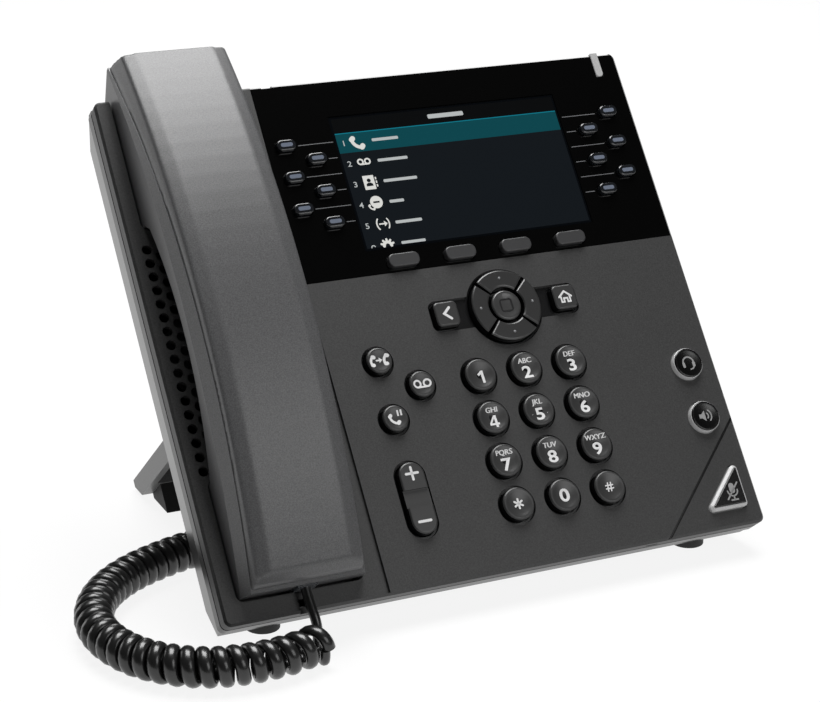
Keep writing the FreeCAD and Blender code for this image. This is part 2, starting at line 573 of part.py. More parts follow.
def grille(body):
    """Staggered holes in front of the loudspeaker."""
    for name, columns, rows, shift in (("even", 3, 17, "0"), ("odd", 2, 16, "1")):
        hole = new_sketch(body, f"grille_{name}")
        add_circle(hole, f"hole_margin - rim_x + {shift} * hole_pitch_x / 2",
                   f"hole_first_y + {shift} * hole_pitch_y / 2", "hole_radius")
        first = pocket(body, hole, "shell_wall + cut_margin")
        pattern = body.newObject("PartDesign::LinearPattern", f"grille_{name}_pattern")
        pattern.Originals = [first]
        pattern.Direction = (hole, ["V_Axis"])
        pattern.Mode = "Spacing"
        pattern.setExpression("Offset", sized("hole_pitch_y"))
        pattern.Occurrences = rows
        pattern.Direction2 = (hole, ["H_Axis"])
        pattern.Mode2 = "Spacing"
        pattern.setExpression("Offset2", sized("hole_pitch_x"))
        pattern.Occurrences2 = columns
        body.Tip = pattern


def rear_housing():
    """Rear shell: rim, drafted back, heel for the feet, socket windows, screw posts and stand slots."""
    body = new_body("rear_housing")
    parting = new_sketch(body, "parting", "-front_depth")
    add_rounded(parting, "0", "face_height / 2", "face_width - 2 * parting_depth",
                "face_height - 2 * parting_depth", "corner_radius")
    pad(body, parting, "2 * parting_height", downward=True)
    outline = new_sketch(body, "outline", "-front_depth - parting_height")
    add_rounded(outline, "0", "face_height / 2", "face_width", "face_height", "corner_radius")
    pad(body, outline, "rim_depth - front_depth - parting_height", downward=True)
    top, sunk = "face_height - rear_inset", "-front_depth - cut_margin"
    profile = new_sketch(body, "profile", "0", "YZ_Plane")
    add_outline(profile, (("heel_inset", sunk), ("heel_inset", "-heel_depth"),
                          (f"heel_inset + {HEEL_RUN}", "-rear_depth"), (f"{top} - rear_draft", "-rear_depth"),
                          (top, "-rim_depth"), (top, sunk)))
    pad(body, profile, "2 * rear_half", both_ways=True)
    under = "-rear_depth - cut_margin"
    for name, sign in (("left", "-"), ("right", "")):
        draft = new_sketch(body, f"draft_{name}", "0", "XZ_Plane")
        drawn_in, outside = f"{sign}(rear_half - rear_draft)", f"{sign}(rear_half + cut_margin)"
        add_outline(draft, ((f"{sign}rear_half", "-rim_depth"), (drawn_in, "-rear_depth"), (drawn_in, under),
                            (outside, under), (outside, "-rim_depth")))
        pocket(body, draft, "3 * face_height", both_ways=True)
    rim_hollow = new_sketch(body, "rim_hollow", "-front_depth")
    add_box(rim_hollow, "shell_wall - rear_half", "rear_half - shell_wall", "shell_wall + heel_inset",
            f"{top} - shell_wall")
    pocket(body, rim_hollow, "rim_depth - front_depth + rim_step")
    hollow = new_sketch(body, "hollow", "0", "YZ_Plane")
    heel_wall, inner_top = "heel_inset + shell_wall", f"{top} - 1.5 * shell_wall"
    open_side = "-front_depth + cut_margin"
    add_outline(hollow, ((heel_wall, open_side), (heel_wall, "-heel_depth + cut_margin"),
                         (f"heel_inset + {HEEL_RUN} + shell_wall / 2", "-rear_depth + shell_wall"),
                         (f"{top} - rear_draft - shell_wall", "-rear_depth + shell_wall"),
                         (inner_top, "-rim_depth"), (inner_top, open_side)))
    pocket(body, hollow, "2 * (rear_half - rear_draft - shell_wall)", both_ways=True)
    notch = new_sketch(body, "ear_notch")
    tub_reach = "recess_width / 2 + shell_wall + seat_gap"
    add_box(notch, f"cradle_x - ({tub_reach})", f"cradle_x + {tub_reach}", "ear_start - shell_wall - seat_gap",
            "face_height + cut_margin")
    pocket(body, notch, "ear_depth + shell_wall + seat_gap")
    light_notch(body, "face_height - shell_wall - panel_gap", "front_depth + seat_gap")
    for side, across in (("left", "board_left + post_inset"), ("right", "board_right - post_inset")):
        for end, up in (("low", "board_low_y + post_inset"), ("high", "board_high_y - post_inset")):
            post = new_sketch(body, f"post_{side}_{end}", "-rear_depth + shell_wall / 2")
            add_circle(post, across, up, "post_radius")
            pad(body, post, "rear_depth - shell_wall / 2 - board_top - board_thickness")
            screw = new_sketch(body, f"screw_recess_{side}_{end}", "-rear_depth")
            add_circle(screw, across, up, "screw_radius")
            pocket(body, screw, "screw_depth", outward=True)
    windows = new_sketch(body, "socket_windows", under)
    for across, size in SOCKETS:
        reach = f"({size} / 2 + window_gap)"
        add_box(windows, f"{across} - {reach}", f"{across} + {reach}", f"jack_y - {reach}", f"jack_y + {reach}")
    for step in (-1, 0, 1):
        middle, reach = f"{step} * tab_pitch", "(tab_width / 2 + key_gap)"
        add_box(windows, f"{middle} - {reach}", f"{middle} + {reach}", "stand_y - stand_plate - key_gap",
                "stand_y + key_gap")
    pocket(body, windows, "shell_wall + 2 * cut_margin", outward=True)
    return body


SOCKETS = (("network_x", "network_size"), ("(network_x + network_pitch)", "network_size"),
           ("headset_jack_x", "small_jack_size"), ("cord_jack_x", "small_jack_size"))
OPENINGS = {"network_size": "network_opening", "small_jack_size": "small_jack_opening"}


def main_board():
    """Circuit board and the four sockets that stand on it."""
    body = new_body("main_board")
    plate = new_sketch(body, "plate", "-board_top")
    add_box(plate, "board_left", "board_right", "board_low_y", "board_high_y")
    pad(body, plate, "board_thickness", downward=True)
    socket_base = "board_top + board_thickness + socket_standoff"
    jacks = new_sketch(body, "sockets", f"-({socket_base})")
    mouths = new_sketch(body, "socket_mouths", "-rear_depth")
    for across, size in SOCKETS:
        for sketch, width in ((jacks, size), (mouths, OPENINGS[size])):
            half = f"{width} / 2"
            add_box(sketch, f"{across} - {half}", f"{across} + {half}", f"jack_y - {half}", f"jack_y + {half}")
    pad(body, jacks, f"rear_depth - ({socket_base})", downward=True)
    pocket(body, mouths, "jack_opening_depth", outward=True)
    return body


# ---------------------------------------------------------------- display and small base pieces

def display_panel():
    """Glossy panel with the screen window and the slots of the line and soft keys."""
    body = new_body("display_panel")
    through = "panel_thickness + cut_margin"
    outline = new_sketch(body, "outline")
    add_box(outline, "slit_x + panel_gap", "rim_x", "panel_bottom + panel_gap", "face_height")
    plate = pad(body, outline, "panel_thickness", downward=True)
    corner_x, corner_y = value_of("rim_x"), value_of("face_height")
    near = lambda first, second: abs(first - second) < SAME_PLACE
    is_corner = lambda edge: near(edge.BoundBox.XMin, corner_x) and near(edge.BoundBox.YMin, corner_y)
    rounded = dress(body, "Fillet", plate, is_corner, "corner_radius")
    low, left = value_of("panel_bottom + edge_chamfer"), value_of("slit_x + edge_chamfer")
    on_top = at_level("0")
    outer = lambda edge: on_top(edge) and edge.BoundBox.YMax > low and edge.BoundBox.XMax > left
    dress(body, "Chamfer", rounded, outer, "edge_chamfer")
    window = new_sketch(body, "window")
    add_box(window, "column_x - lcd_shift - window_width / 2", "column_x - lcd_shift + window_width / 2",
            "lcd_y - window_height / 2", "lcd_y + window_height / 2")
    pocket(body, window, through)
    for label, across, up in LINE_KEYS + SOFT_KEYS:
        kind = label.split("_")[0]
        slot = new_sketch(body, f"{label}_slot")
        add_rounded(slot, across, up, f"{kind}_width + 2 * key_gap", f"{kind}_height + 2 * key_gap",
                    f"{kind}_corner + key_gap")
        pocket(body, slot, through)
    light_notch(body, "face_height - light_length - panel_gap", through)
    notch = new_sketch(body, "top_notch")
    add_box(notch, "slit_x + top_notch_margin", "slit_x + top_notch_margin + top_notch_width",
            "face_height - top_notch_depth", "face_height + cut_margin")
    pocket(body, notch, through)
    return body


def lcd_module():
    """Screen module with its raised glass in the panel's window."""
    body = new_body("lcd_module")
    middle = "column_x - lcd_shift"
    back = new_sketch(body, "back", "-panel_thickness")
    add_box(back, f"{middle} - lcd_width / 2", f"{middle} + lcd_width / 2", "module_y - lcd_height / 2",
            "module_y + lcd_height / 2")
    pad(body, back, "lcd_depth", downward=True)
    glass = new_sketch(body, "glass", "-panel_thickness - lcd_depth / 2")
    across, up = "(window_width / 2 - panel_gap)", "(window_height / 2 - panel_gap)"
    add_box(glass, f"{middle} - {across}", f"{middle} + {across}", f"lcd_y - {up}", f"lcd_y + {up}")
    pad(body, glass, "panel_thickness + lcd_depth / 2 - seat_gap")
    return body


def message_light():
    """Light bar that wraps over the top edge."""
    body = new_body("message_light")
    left, right, top = "light_x - light_width / 2", "light_x + light_width / 2", "face_height + seat_gap"
    bar = new_sketch(body, "bar", "-panel_thickness")
    add_box(bar, left, right, "face_height - light_length", top)
    straight = pad(body, bar, "panel_thickness + seat_gap")
    low = value_of("face_height - light_length")
    at_low_end = lambda edge: edge.BoundBox.YMax < low + SAME_PLACE and edge.BoundBox.XLength < SAME_PLACE
    dress(body, "Fillet", straight, at_low_end, "0.45 * light_width")
    wrap = new_sketch(body, "wrap", "-light_depth")
    add_box(wrap, left, right, "face_height - shell_wall", top)
    pad(body, wrap, "light_depth")
    return body


def loudspeaker():
    """Hands-free loudspeaker: basket and magnet."""
    body = new_body("loudspeaker")
    for name, radius, depth in (("basket", "speaker_radius", "speaker_depth / 2"),
                                ("magnet", "magnet_radius", "speaker_depth")):
        disc = new_sketch(body, name, "-shell_wall")
        add_circle(disc, "speaker_margin - rim_x", "speaker_y", radius)
        pad(body, disc, depth, downward=True)
    return body


def hook_switch():
    """Hook plunger in the floor of the ear recess."""
    body = new_body("hook_switch")
    rest_top = "(ear_depth + seat_gap / 2)"
    flange_low = "(ear_depth + shell_wall + hook_travel + seat_gap + hook_flange)"
    for name, margin, height in (("stem", "0", f"{flange_low} - {rest_top}"),
                                 ("flange", "hook_flange", "hook_flange")):
        block = new_sketch(body, name, f"-{flange_low}")
        across, up = f"(hook_width / 2 + {margin})", f"(hook_height / 2 + {margin})"
        add_box(block, f"cradle_x - {across}", f"cradle_x + {across}", f"hook_y - {up}", f"hook_y + {up}")
        pad(body, block, height)
    return body


# ---------------------------------------------------------------- feet and stand

def front_feet():
    """Two rubber feet under the heel, built upright in the row frame."""
    body = new_body("front_feet")
    heel_y = f"(heel_inset * cos({TILT}) + heel_depth * sin({TILT}))"
    for name, sign in (("left", "-"), ("right", "")):
        foot = new_sketch(body, name)
        add_circle(foot, f"{sign}foot_x", f"{heel_y} + foot_margin + foot_radius", "foot_radius")
        pad(body, foot, "foot_height")
    return body


def stand():
    """Stand plate with side flanges, end beam, cable window and snap tabs."""
    body = new_body("stand")
    under, seat = "(stand_y - stand_flange)", "-rear_depth - seat_gap"
    profile = new_sketch(body, "profile", "0", "YZ_Plane")
    add_outline(profile, ((under, seat), (under, f"-{STAND_REACH} + {STAND_BEVEL}"),
                          ("stand_y - stand_lip", f"-{STAND_REACH}"), ("stand_y", f"-{STAND_REACH}"),
                          ("stand_y", seat)))
    pad(body, profile, "stand_width", both_ways=True)
    hollow = new_sketch(body, "hollow", "0", "YZ_Plane")
    add_box(hollow, f"{under} - cut_margin", "stand_y - stand_plate",
            f"-{STAND_REACH} + stand_foot_length + stand_web_length", "-rear_depth + cut_margin")
    pocket(body, hollow, "stand_width - 2 * stand_plate", both_ways=True)
    window = new_sketch(body, "cable_window", "-stand_y + stand_plate + cut_margin", "XZ_Plane")
    add_rounded(window, "0", "-rear_depth - cable_window_start - cable_window_length / 2", "cable_window_width",
                "cable_window_length", "cable_window_corner")
    pocket(body, window, "stand_plate + 2 * cut_margin")
    tabs = new_sketch(body, "tabs", f"{seat} - cut_margin")
    for step in (-1, 0, 1):
        add_box(tabs, f"{step} * tab_pitch - tab_width / 2", f"{step} * tab_pitch + tab_width / 2",
                "stand_y - stand_plate", "stand_y")
    pad(body, tabs, "tab_length + seat_gap + cut_margin")
    return body


def stand_feet():
    """Two rubber wedges under the stand's end, level with the desk."""
    body = new_body("stand_feet")
    near = f"({STAND_REACH} - {STAND_BEVEL})"
    far = f"({near} - stand_foot_length)"
    top = "(stand_y - stand_flange)"
    for name, sign in (("left", "-"), ("right", "")):
        side = new_sketch(body, name, f"{sign}stand_foot_x - stand_foot_width / 2", "YZ_Plane")
        add_outline(side, ((top, f"-{far}"), (top, f"-{near}"),
                           (f"({near} * cos({TILT}) - {REST_HEIGHT}) / sin({TILT})", f"-{near}"),
                           (f"({far} * cos({TILT}) - {REST_HEIGHT}) / sin({TILT})", f"-{far}")))
        pad(body, side, "stand_foot_width")
    return body


# ---------------------------------------------------------------- handset

def handset_form(body):
    """The handset's bowed, faceted bar, shared by both of its shells."""
    section = new_sketch(body, "section", "-handset_mid_y", "XZ_Plane")
    section.setExpression("AttachmentOffset.Base.y", sized("handset_rise - handset_bow"))
    right = (("handset_flat / 2", "handset_bow"), ("handset_ridge / 2", "handset_bow - ridge_drop"),
             ("handset_width / 2", "handset_bow - side_drop"), ("handset_width / 2", "handset_bow - bar_depth"))
    points = [(f"cradle_x + {across}", up) for across, up in right]
    points += [(f"cradle_x - {across}", up) for across, up in reversed(right)]
    add_outline(section, points)
    return revolve(body, section, "handset_sweep_angle", axis="H_Axis", both_ways=True)


def keep_inside(body, name, points, arcs):
    """Remove all of the bar outside a side outline."""
    sketch = new_sketch(body, name, "0", "YZ_Plane")
    add_box(sketch, "-trim_height", "face_height + 1.5 * trim_height", "-1.5 * trim_height",
            "1.5 * trim_height")
    add_outline(sketch, points, arcs)
    pocket(body, sketch, "3 * face_width", both_ways=True)


def handset_outer_shell():
    """Outer shell of the handset, down to the parting line."""
    body = new_body("handset_outer_shell")
    handset_form(body)
    outline = (("handset_low_y", "low_parting + parting_gap"), ("handset_high_y", "high_parting + parting_gap"),
               ("handset_high_y", "trim_height"),
               ("handset_low_y + (trim_height - low_parting) * end_slant", "trim_height"))
    keep_inside(body, "outline", outline, {0: ("parting_radius", 1)})
    inner = new_sketch(body, "inner", "0", "YZ_Plane")
    low, high = "handset_low_y + 3 * handset_wall", "handset_high_y - handset_wall"
    ceiling = "handset_rise - outer_hollow_depth - handset_wall"
    add_outline(inner, ((low, "-trim_height / 3"), (high, "-trim_height / 3"), (high, ceiling), (low, ceiling)),
                {2: ("handset_bow - handset_wall - ridge_drop", -1)})
    pocket(body, inner, "handset_ridge - handset_wall", both_ways=True)
    return body


def handset_inner_shell():
    """Inner shell with the ear and mouth blocks, the finger arch and the cord socket."""
    body = new_body("handset_inner_shell")
    handset_form(body)
    ear_floor, mouth_floor = "(seat_gap - ear_depth)", "(seat_gap - mouth_depth)"
    ear_y, mouth_y = "(ear_start + block_gap)", "(mouth_end - block_gap)"
    outline = (("handset_low_y", "low_parting"),
               ("handset_low_y + end_foot", f"{mouth_floor} + end_bevel_height"),
               ("handset_low_y + end_bevel_length", mouth_floor), (mouth_y, mouth_floor),
               (mouth_y, "mouth_shoulder_z"), ("arch_low_y", "arch_low_z"), ("arch_high_y", "arch_high_z"),
               (ear_y, "ear_shoulder_z"), (ear_y, ear_floor), ("face_height + ear_overhang", ear_floor),
               ("handset_high_y", "high_parting"))
    keep_inside(body, "outline", outline, {5: ("arch_radius", 1), 10: ("parting_radius", -1)})
    wall = "handset_wall"
    start, finish = f"handset_low_y + socket_depth + 2 * {wall}", f"handset_high_y - 2.5 * {wall}"
    mouth_side, ear_side = f"{mouth_y} - {wall}", f"{ear_y} + {wall}"
    hollow = ((start, "trim_height"), (start, f"{mouth_floor} + {wall}"),
              (mouth_side, f"{mouth_floor} + {wall}"), (mouth_side, f"mouth_shoulder_z + {wall}"),
              (f"arch_low_y + {wall} / 2", f"arch_low_z + 1.6 * {wall}"),
              (f"arch_high_y - {wall} / 2", f"arch_high_z + 1.5 * {wall}"),
              (ear_side, f"ear_shoulder_z + {wall}"),
              (ear_side, f"{ear_floor} + {wall}"), (f"face_height - {wall} / 2", f"{ear_floor} + {wall}"),
              (finish, "high_parting"), (finish, "trim_height"))
    inner = new_sketch(body, "inner", "0", "YZ_Plane")
    add_outline(inner, hollow, {4: ("arch_radius", 1)})
    pocket(body, inner, f"handset_width - 2 * {wall}", both_ways=True)
    socket = new_sketch(body, "socket", "0", "XZ_Plane")
    add_box(socket, "cradle_x - socket_width / 2", "cradle_x + socket_width / 2", "plug_z - socket_height / 2",
            "plug_z + socket_height / 2")
    pocket(body, socket, "handset_low_y + socket_depth")
    return body


def box_between(label, left, right, low, high, bottom, top):
    """A plain block piece."""
    body = new_body(label)
    base = new_sketch(body, "base", bottom)
    add_box(base, left, right, low, high)
    pad(body, base, f"{top} - ({bottom})")
    return body


# ---------------------------------------------------------------- cord

def rounded_path(points):
    """Straight runs joined by tangent arcs; returns the wire and its arc radii."""
    corners = [Vector(*point) for point in points]
    edges, radii = [], []
    start = corners[0]
    for before, corner, after in zip(corners, corners[1:], corners[2:]):
        way_in, way_out = (corner - before), (after - corner)
        run = min(way_in.Length, way_out.Length)
        way_in.normalize()
        way_out.normalize()
        turn = way_in.getAngle(way_out)
        reach = 0.45 * run
        radii.append(reach / math.tan(turn / 2))
        first, last = corner - way_in * reach, corner + way_out * reach
        middle_way = (way_out - way_in).normalize()
        middle = corner + middle_way * (radii[-1] / math.cos(turn / 2) - radii[-1])
        edges.append(Part.LineSegment(start, first).toShape())
        edges.append(Part.Arc(first, middle, last).toShape())
        start = last
    edges.append(Part.LineSegment(start, corners[-1]).toShape())
    return Part.Wire(edges), radii


def cord_tube(label, points, diameter):
    """A round tube along a route; its volume is compared with section times length."""
    wire, radii = rounded_path(points)
    first = wire.Edges[0]
    way = first.tangentAt(first.FirstParameter)
    ring = Part.Wire(Part.Circle(first.Vertexes[0].Point, way, diameter / 2).toShape())
    shape = wire.makePipeShell([ring], True, False)
    expected = math.pi * diameter ** 2 / 4 * wire.Length
    print(f"{label}: length {wire.Length:.1f}, radii {[round(radius, 1) for radius in radii]}, "
          f"volume ratio {shape.Volume / expected:.4f}")
    piece = doc.addObject("Part::Feature", label)
    piece.Label = label
    piece.Shape = shape
    return piece


def face_point(across, up, out):
    """A point of the face frame as a vector in the row frame, before centring."""
    tilt = math.radians(value_of("tilt_angle"))
    y, z = value_of(up), value_of(out)
    return (value_of(across), y * math.cos(tilt) - z * math.sin(tilt),
            y * math.sin(tilt) + z * math.cos(tilt) + value_of(REST_HEIGHT))


# ---------------------------------------------------------------- assembly

def face_placement(shift_y):
    """Common placement of the pieces modelled in the face frame."""
    turn = Rotation(Vector(1, 0, 0), value_of("tilt_angle"))
    return Placement(Vector(0, shift_y, value_of(REST_HEIGHT)), turn)


def build():
    """Make every piece and return them with the placement each kind gets."""
    face = [front_housing(), rear_housing(), display_panel(), lcd_module(), message_light(), main_board(),
            loudspeaker(), hook_switch(), stand(), stand_feet(), handset_outer_shell(), handset_inner_shell()]
    face += [round_key(label, x, y, "dial_radius") for label, x, y in DIAL_KEYS]
    face += [round_key(label, x, y, "function_radius") for label, x, y in FUNCTION_KEYS]
    face += [round_key(label, x, y, "function_radius", "skirt_radius") for label, x, y in AUDIO_KEYS]
    face.append(round_key("select_key", "column_x", "nav_y", "select_radius"))
    side = ("side_key_size", "side_key_size", "side_key_corner", "key_rise", "key_round")
    face += [block_key(label, x, y, *side) for label, x, y in SIDE_KEYS]
    face += [block_key(label, x, y, "soft_width", "soft_height", "soft_corner", "flush_rise", "flush_round")
             for label, x, y in SOFT_KEYS]
    face += [block_key(label, x, y, "line_width", "line_height", "line_corner", "flush_rise", "flush_round")
             for label, x, y in LINE_KEYS]
    face += [mute_key(), volume_rocker()]
    plug_low, plug_high = "plug_z - socket_height / 2 + plug_gap", "plug_z + socket_height / 2 - plug_gap"
    half = "(socket_width / 2 - plug_gap)"
    face.append(box_between("cord_plug_handset", f"cradle_x - {half}", f"cradle_x + {half}", "plug_start_y",
                            "plug_start_y + plug_length", plug_low, plug_high))
    half = "(small_jack_opening / 2 - plug_gap)"
    face.append(box_between("cord_plug_base", f"cord_jack_x - {half}", f"cord_jack_x + {half}",
                            f"jack_y - {half}", f"jack_y + {half}", "-rear_depth - plug_tail",
                            "-rear_depth + plug_length"))
    turned = [(navigation_key(label), turn) for label, turn in NAV_KEYS]
    return face, turned, front_feet()


def place_all(face, turned, feet, shift_y):
    """Stand the pieces in the row frame."""
    common = face_placement(shift_y)
    for piece in face:
        piece.Placement = common
    centre = Vector(value_of("column_x"), value_of("nav_y"), 0)
    for piece, turn in turned:
        piece.Placement = common.multiply(Placement(centre, Rotation(Vector(0, 0, 1), turn)))
    feet.Placement = Placement(Vector(0, shift_y, 0), Rotation())


face_pieces, ring_pieces, feet_piece = build()
doc.recompute()
place_all(face_pieces, ring_pieces, feet_piece, 0)
solid_pieces = face_pieces + [piece for piece, _ in ring_pieces] + [feet_piece]
plugs = ("cord_plug_handset", "cord_plug_base")
extent = FreeCAD.BoundBox()
for piece in solid_pieces:
    if piece.Label not in plugs:
        extent.add(piece.Shape.optimalBoundingBox(False))
place_all(face_pieces, ring_pieces, feet_piece, -extent.Center.y)
doc.recompute()
print(f"origin shift {-extent.Center.y:.3f}, rest height {value_of(REST_HEIGHT):.3f}, "
      f"size {extent.XLength:.1f} x {extent.YLength:.1f} x {extent.ZLength:.1f}, centre x {extent.Center.x:.3f}")

lead_start = (face_point("cradle_x", "plug_start_y", "plug_z"),
              face_point("cradle_x", "plug_start_y - lead_start_length", "plug_z"))
tail_end = (face_point("cord_jack_x", "jack_y", "-rear_depth - plug_tail - tail_end_length"),
            face_point("cord_jack_x", "jack_y", "-rear_depth - plug_tail"))
cord_pieces = [cord_tube("handset_cord_lead", lead_start + LEAD_ROUTE, VALUES["wire_diameter"]),
               cord_tube("handset_cord_coil", COIL_ROUTE, VALUES["coil_diameter"]),
               cord_tube("handset_cord_tail", TAIL_ROUTE + tail_end, VALUES["wire_diameter"])]
for piece in cord_pieces:
    piece.Placement = Placement(Vector(0, -extent.Center.y, 0), Rotation())
pieces = solid_pieces + cord_pieces

for item in doc.Objects:
    if "Invalid" in item.State or "Error" in item.State:
        raise RuntimeError(f"{item.Label}: {item.State}")
os.makedirs("parts", exist_ok=True)
for piece in pieces:
    shape = piece.Shape
    if shape.isNull() or not shape.isValid() or not shape.Solids:
        raise RuntimeError(f"{piece.Label}: no valid solid")
for piece in pieces:
    piece.Shape.exportStep(f"parts/{piece.Label}.step")
print(f"{len(pieces)} pieces written")
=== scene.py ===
"""Looks of a desk IP phone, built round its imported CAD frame.

The phone is drawn in the frame of its sloping face: x to the right, y up the slope from the face's
lower edge and z out of the face, in millimetres. One matrix carries that frame into the row frame.
"""
import json
import logging
import math
from dataclasses import dataclass
from enum import Enum
from functools import cache
from typing import Iterable, Optional, Protocol, Sequence

import bpy
from mathutils import Matrix, Vector
from mathutils.bvhtree import BVHTree

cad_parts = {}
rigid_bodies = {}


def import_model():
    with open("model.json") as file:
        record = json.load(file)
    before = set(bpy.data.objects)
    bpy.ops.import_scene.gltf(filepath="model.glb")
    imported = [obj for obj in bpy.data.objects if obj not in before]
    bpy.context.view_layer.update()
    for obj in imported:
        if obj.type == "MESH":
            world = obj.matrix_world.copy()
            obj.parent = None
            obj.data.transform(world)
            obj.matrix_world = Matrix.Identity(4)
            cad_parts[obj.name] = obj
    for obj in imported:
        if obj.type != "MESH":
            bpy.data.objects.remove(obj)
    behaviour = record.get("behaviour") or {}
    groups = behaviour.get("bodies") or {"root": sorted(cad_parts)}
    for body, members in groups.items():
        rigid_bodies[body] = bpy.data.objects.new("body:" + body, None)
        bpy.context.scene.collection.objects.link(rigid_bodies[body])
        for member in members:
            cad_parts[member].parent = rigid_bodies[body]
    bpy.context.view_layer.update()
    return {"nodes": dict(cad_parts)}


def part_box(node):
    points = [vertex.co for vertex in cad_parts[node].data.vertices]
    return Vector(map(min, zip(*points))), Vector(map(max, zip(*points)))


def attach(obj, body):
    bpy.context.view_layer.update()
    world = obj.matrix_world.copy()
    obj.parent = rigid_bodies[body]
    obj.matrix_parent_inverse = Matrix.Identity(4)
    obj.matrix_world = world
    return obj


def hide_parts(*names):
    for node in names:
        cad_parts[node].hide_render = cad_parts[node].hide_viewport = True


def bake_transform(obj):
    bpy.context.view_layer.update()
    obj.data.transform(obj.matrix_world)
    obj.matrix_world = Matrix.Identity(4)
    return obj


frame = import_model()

LOG = logging.getLogger("desk_phone")
MM = 0.001
Point2 = tuple[float, float]
Point3 = tuple[float, float, float]
Colour = tuple[float, float, float, float]


# ---------------------------------------------------------------- shared helpers

def srgb(hex_colour: str) -> Colour:
    """Turn an sRGB hex value into a linear colour.

    Args:
        hex_colour: six hex digits, with or without a leading hash.

    Returns:
        Linear red, green, blue and an alpha of 1.
    """
    digits = hex_colour.lstrip("#")
    channels = [int(digits[start:start + 2], 16) / 255 for start in (0, 2, 4)]
    linear = [c / 12.92 if c <= 0.04045 else ((c + 0.055) / 1.055) ** 2.4 for c in channels]
    return (linear[0], linear[1], linear[2], 1.0)


def shaded(colour: Colour, share: float) -> Colour:
    """A linear colour made lighter, or with a negative share darker."""
    return tuple(min(1.0, c * (1 + share)) for c in colour[:3]) + (1.0,)


def add_node(tree: bpy.types.NodeTree, kind: str, settings: Optional[dict] = None,
             links: Optional[dict] = None) -> bpy.types.Node:
    """Add a shader node with its settings and incoming links.

    Args:
        tree: node tree to add to.
        kind: Blender's identifier of the node.
        settings: attribute names, or input socket names or numbers, mapped to values.
        links: input socket names or numbers mapped to output sockets.

    Returns:
        The new node.
    """
    node = tree.nodes.new(kind)
    for key, value in (settings or {}).items():
        if isinstance(key, str) and key not in node.inputs and hasattr(node, key):
            setattr(node, key, value)
        else:
            node.inputs[key].default_value = value
    for key, socket in (links or {}).items():
        tree.links.new(socket, node.inputs[key])
    return node


def start_material(name: str, sockets: dict[str, object]
                   ) -> tuple[bpy.types.Material, bpy.types.NodeTree, bpy.types.Node]:
    """Start a node material.

    Args:
        name: material name.
        sockets: values of the shader's own input sockets.

    Returns:
        The material, its node tree and its shader.
    """
    material = bpy.data.materials.new(name)
    material.use_nodes = True
    shader = material.node_tree.nodes["Principled BSDF"]
    for socket, value in sockets.items():
        shader.inputs[socket].default_value = value
    return material, material.node_tree, shader


@dataclass(frozen=True)
class Face:
    """The face's frame inside the row frame.

    Attributes:
        tilt_deg: slope of the face from the desk.
        edge_y: row Y of the face's lower edge, in metres.
        edge_z: row Z of the face's lower edge, in metres.
    """
    tilt_deg: float
    edge_y: float
    edge_z: float

    @classmethod
    def from_panel(cls, tilt_deg: float, panel_low_mm: float, panel_thick_mm: float) -> "Face":
        """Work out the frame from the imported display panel's lowest corner.

        Args:
            tilt_deg: slope of the face.
            panel_low_mm: height of the panel's lower edge up the face.
            panel_thick_mm: thickness of the panel.

        Returns:
            The frame.
        """
        low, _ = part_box("display_panel")
        tilt = math.radians(tilt_deg)
        y = low.y - panel_low_mm * MM * math.cos(tilt)
        z = low.z - (panel_low_mm * math.sin(tilt) - panel_thick_mm * math.cos(tilt)) * MM
        return cls(tilt_deg, y, z)

    @property
    def matrix(self) -> Matrix:
        """Face millimetres to row metres."""
        turn = Matrix.Rotation(math.radians(self.tilt_deg), 4, "X")
        return Matrix.Translation((0, self.edge_y, self.edge_z)) @ turn @ Matrix.Scale(MM, 4)

    def box(self, node: str) -> tuple[Vector, Vector]:
        """Measure a CAD node in the face frame.

        Args:
            node: name of the node.

        Returns:
            Its lowest and highest corners, in millimetres.
        """
        back = self.matrix.inverted()
        points = [back @ vertex.co for vertex in frame["nodes"][node].data.vertices]
        low = Vector(min(point[axis] for point in points) for axis in range(3))
        high = Vector(max(point[axis] for point in points) for axis in range(3))
        return low, high

    def centre(self, node: str) -> Vector:
        """Middle of a CAD node's box, with z at its top."""
        low, high = self.box(node)
        return Vector(((low.x + high.x) / 2, (low.y + high.y) / 2, high.z))


FACE = Face.from_panel(tilt_deg=50.0, panel_low_mm=119.35, panel_thick_mm=2.4)


# ---------------------------------------------------------------- finishes

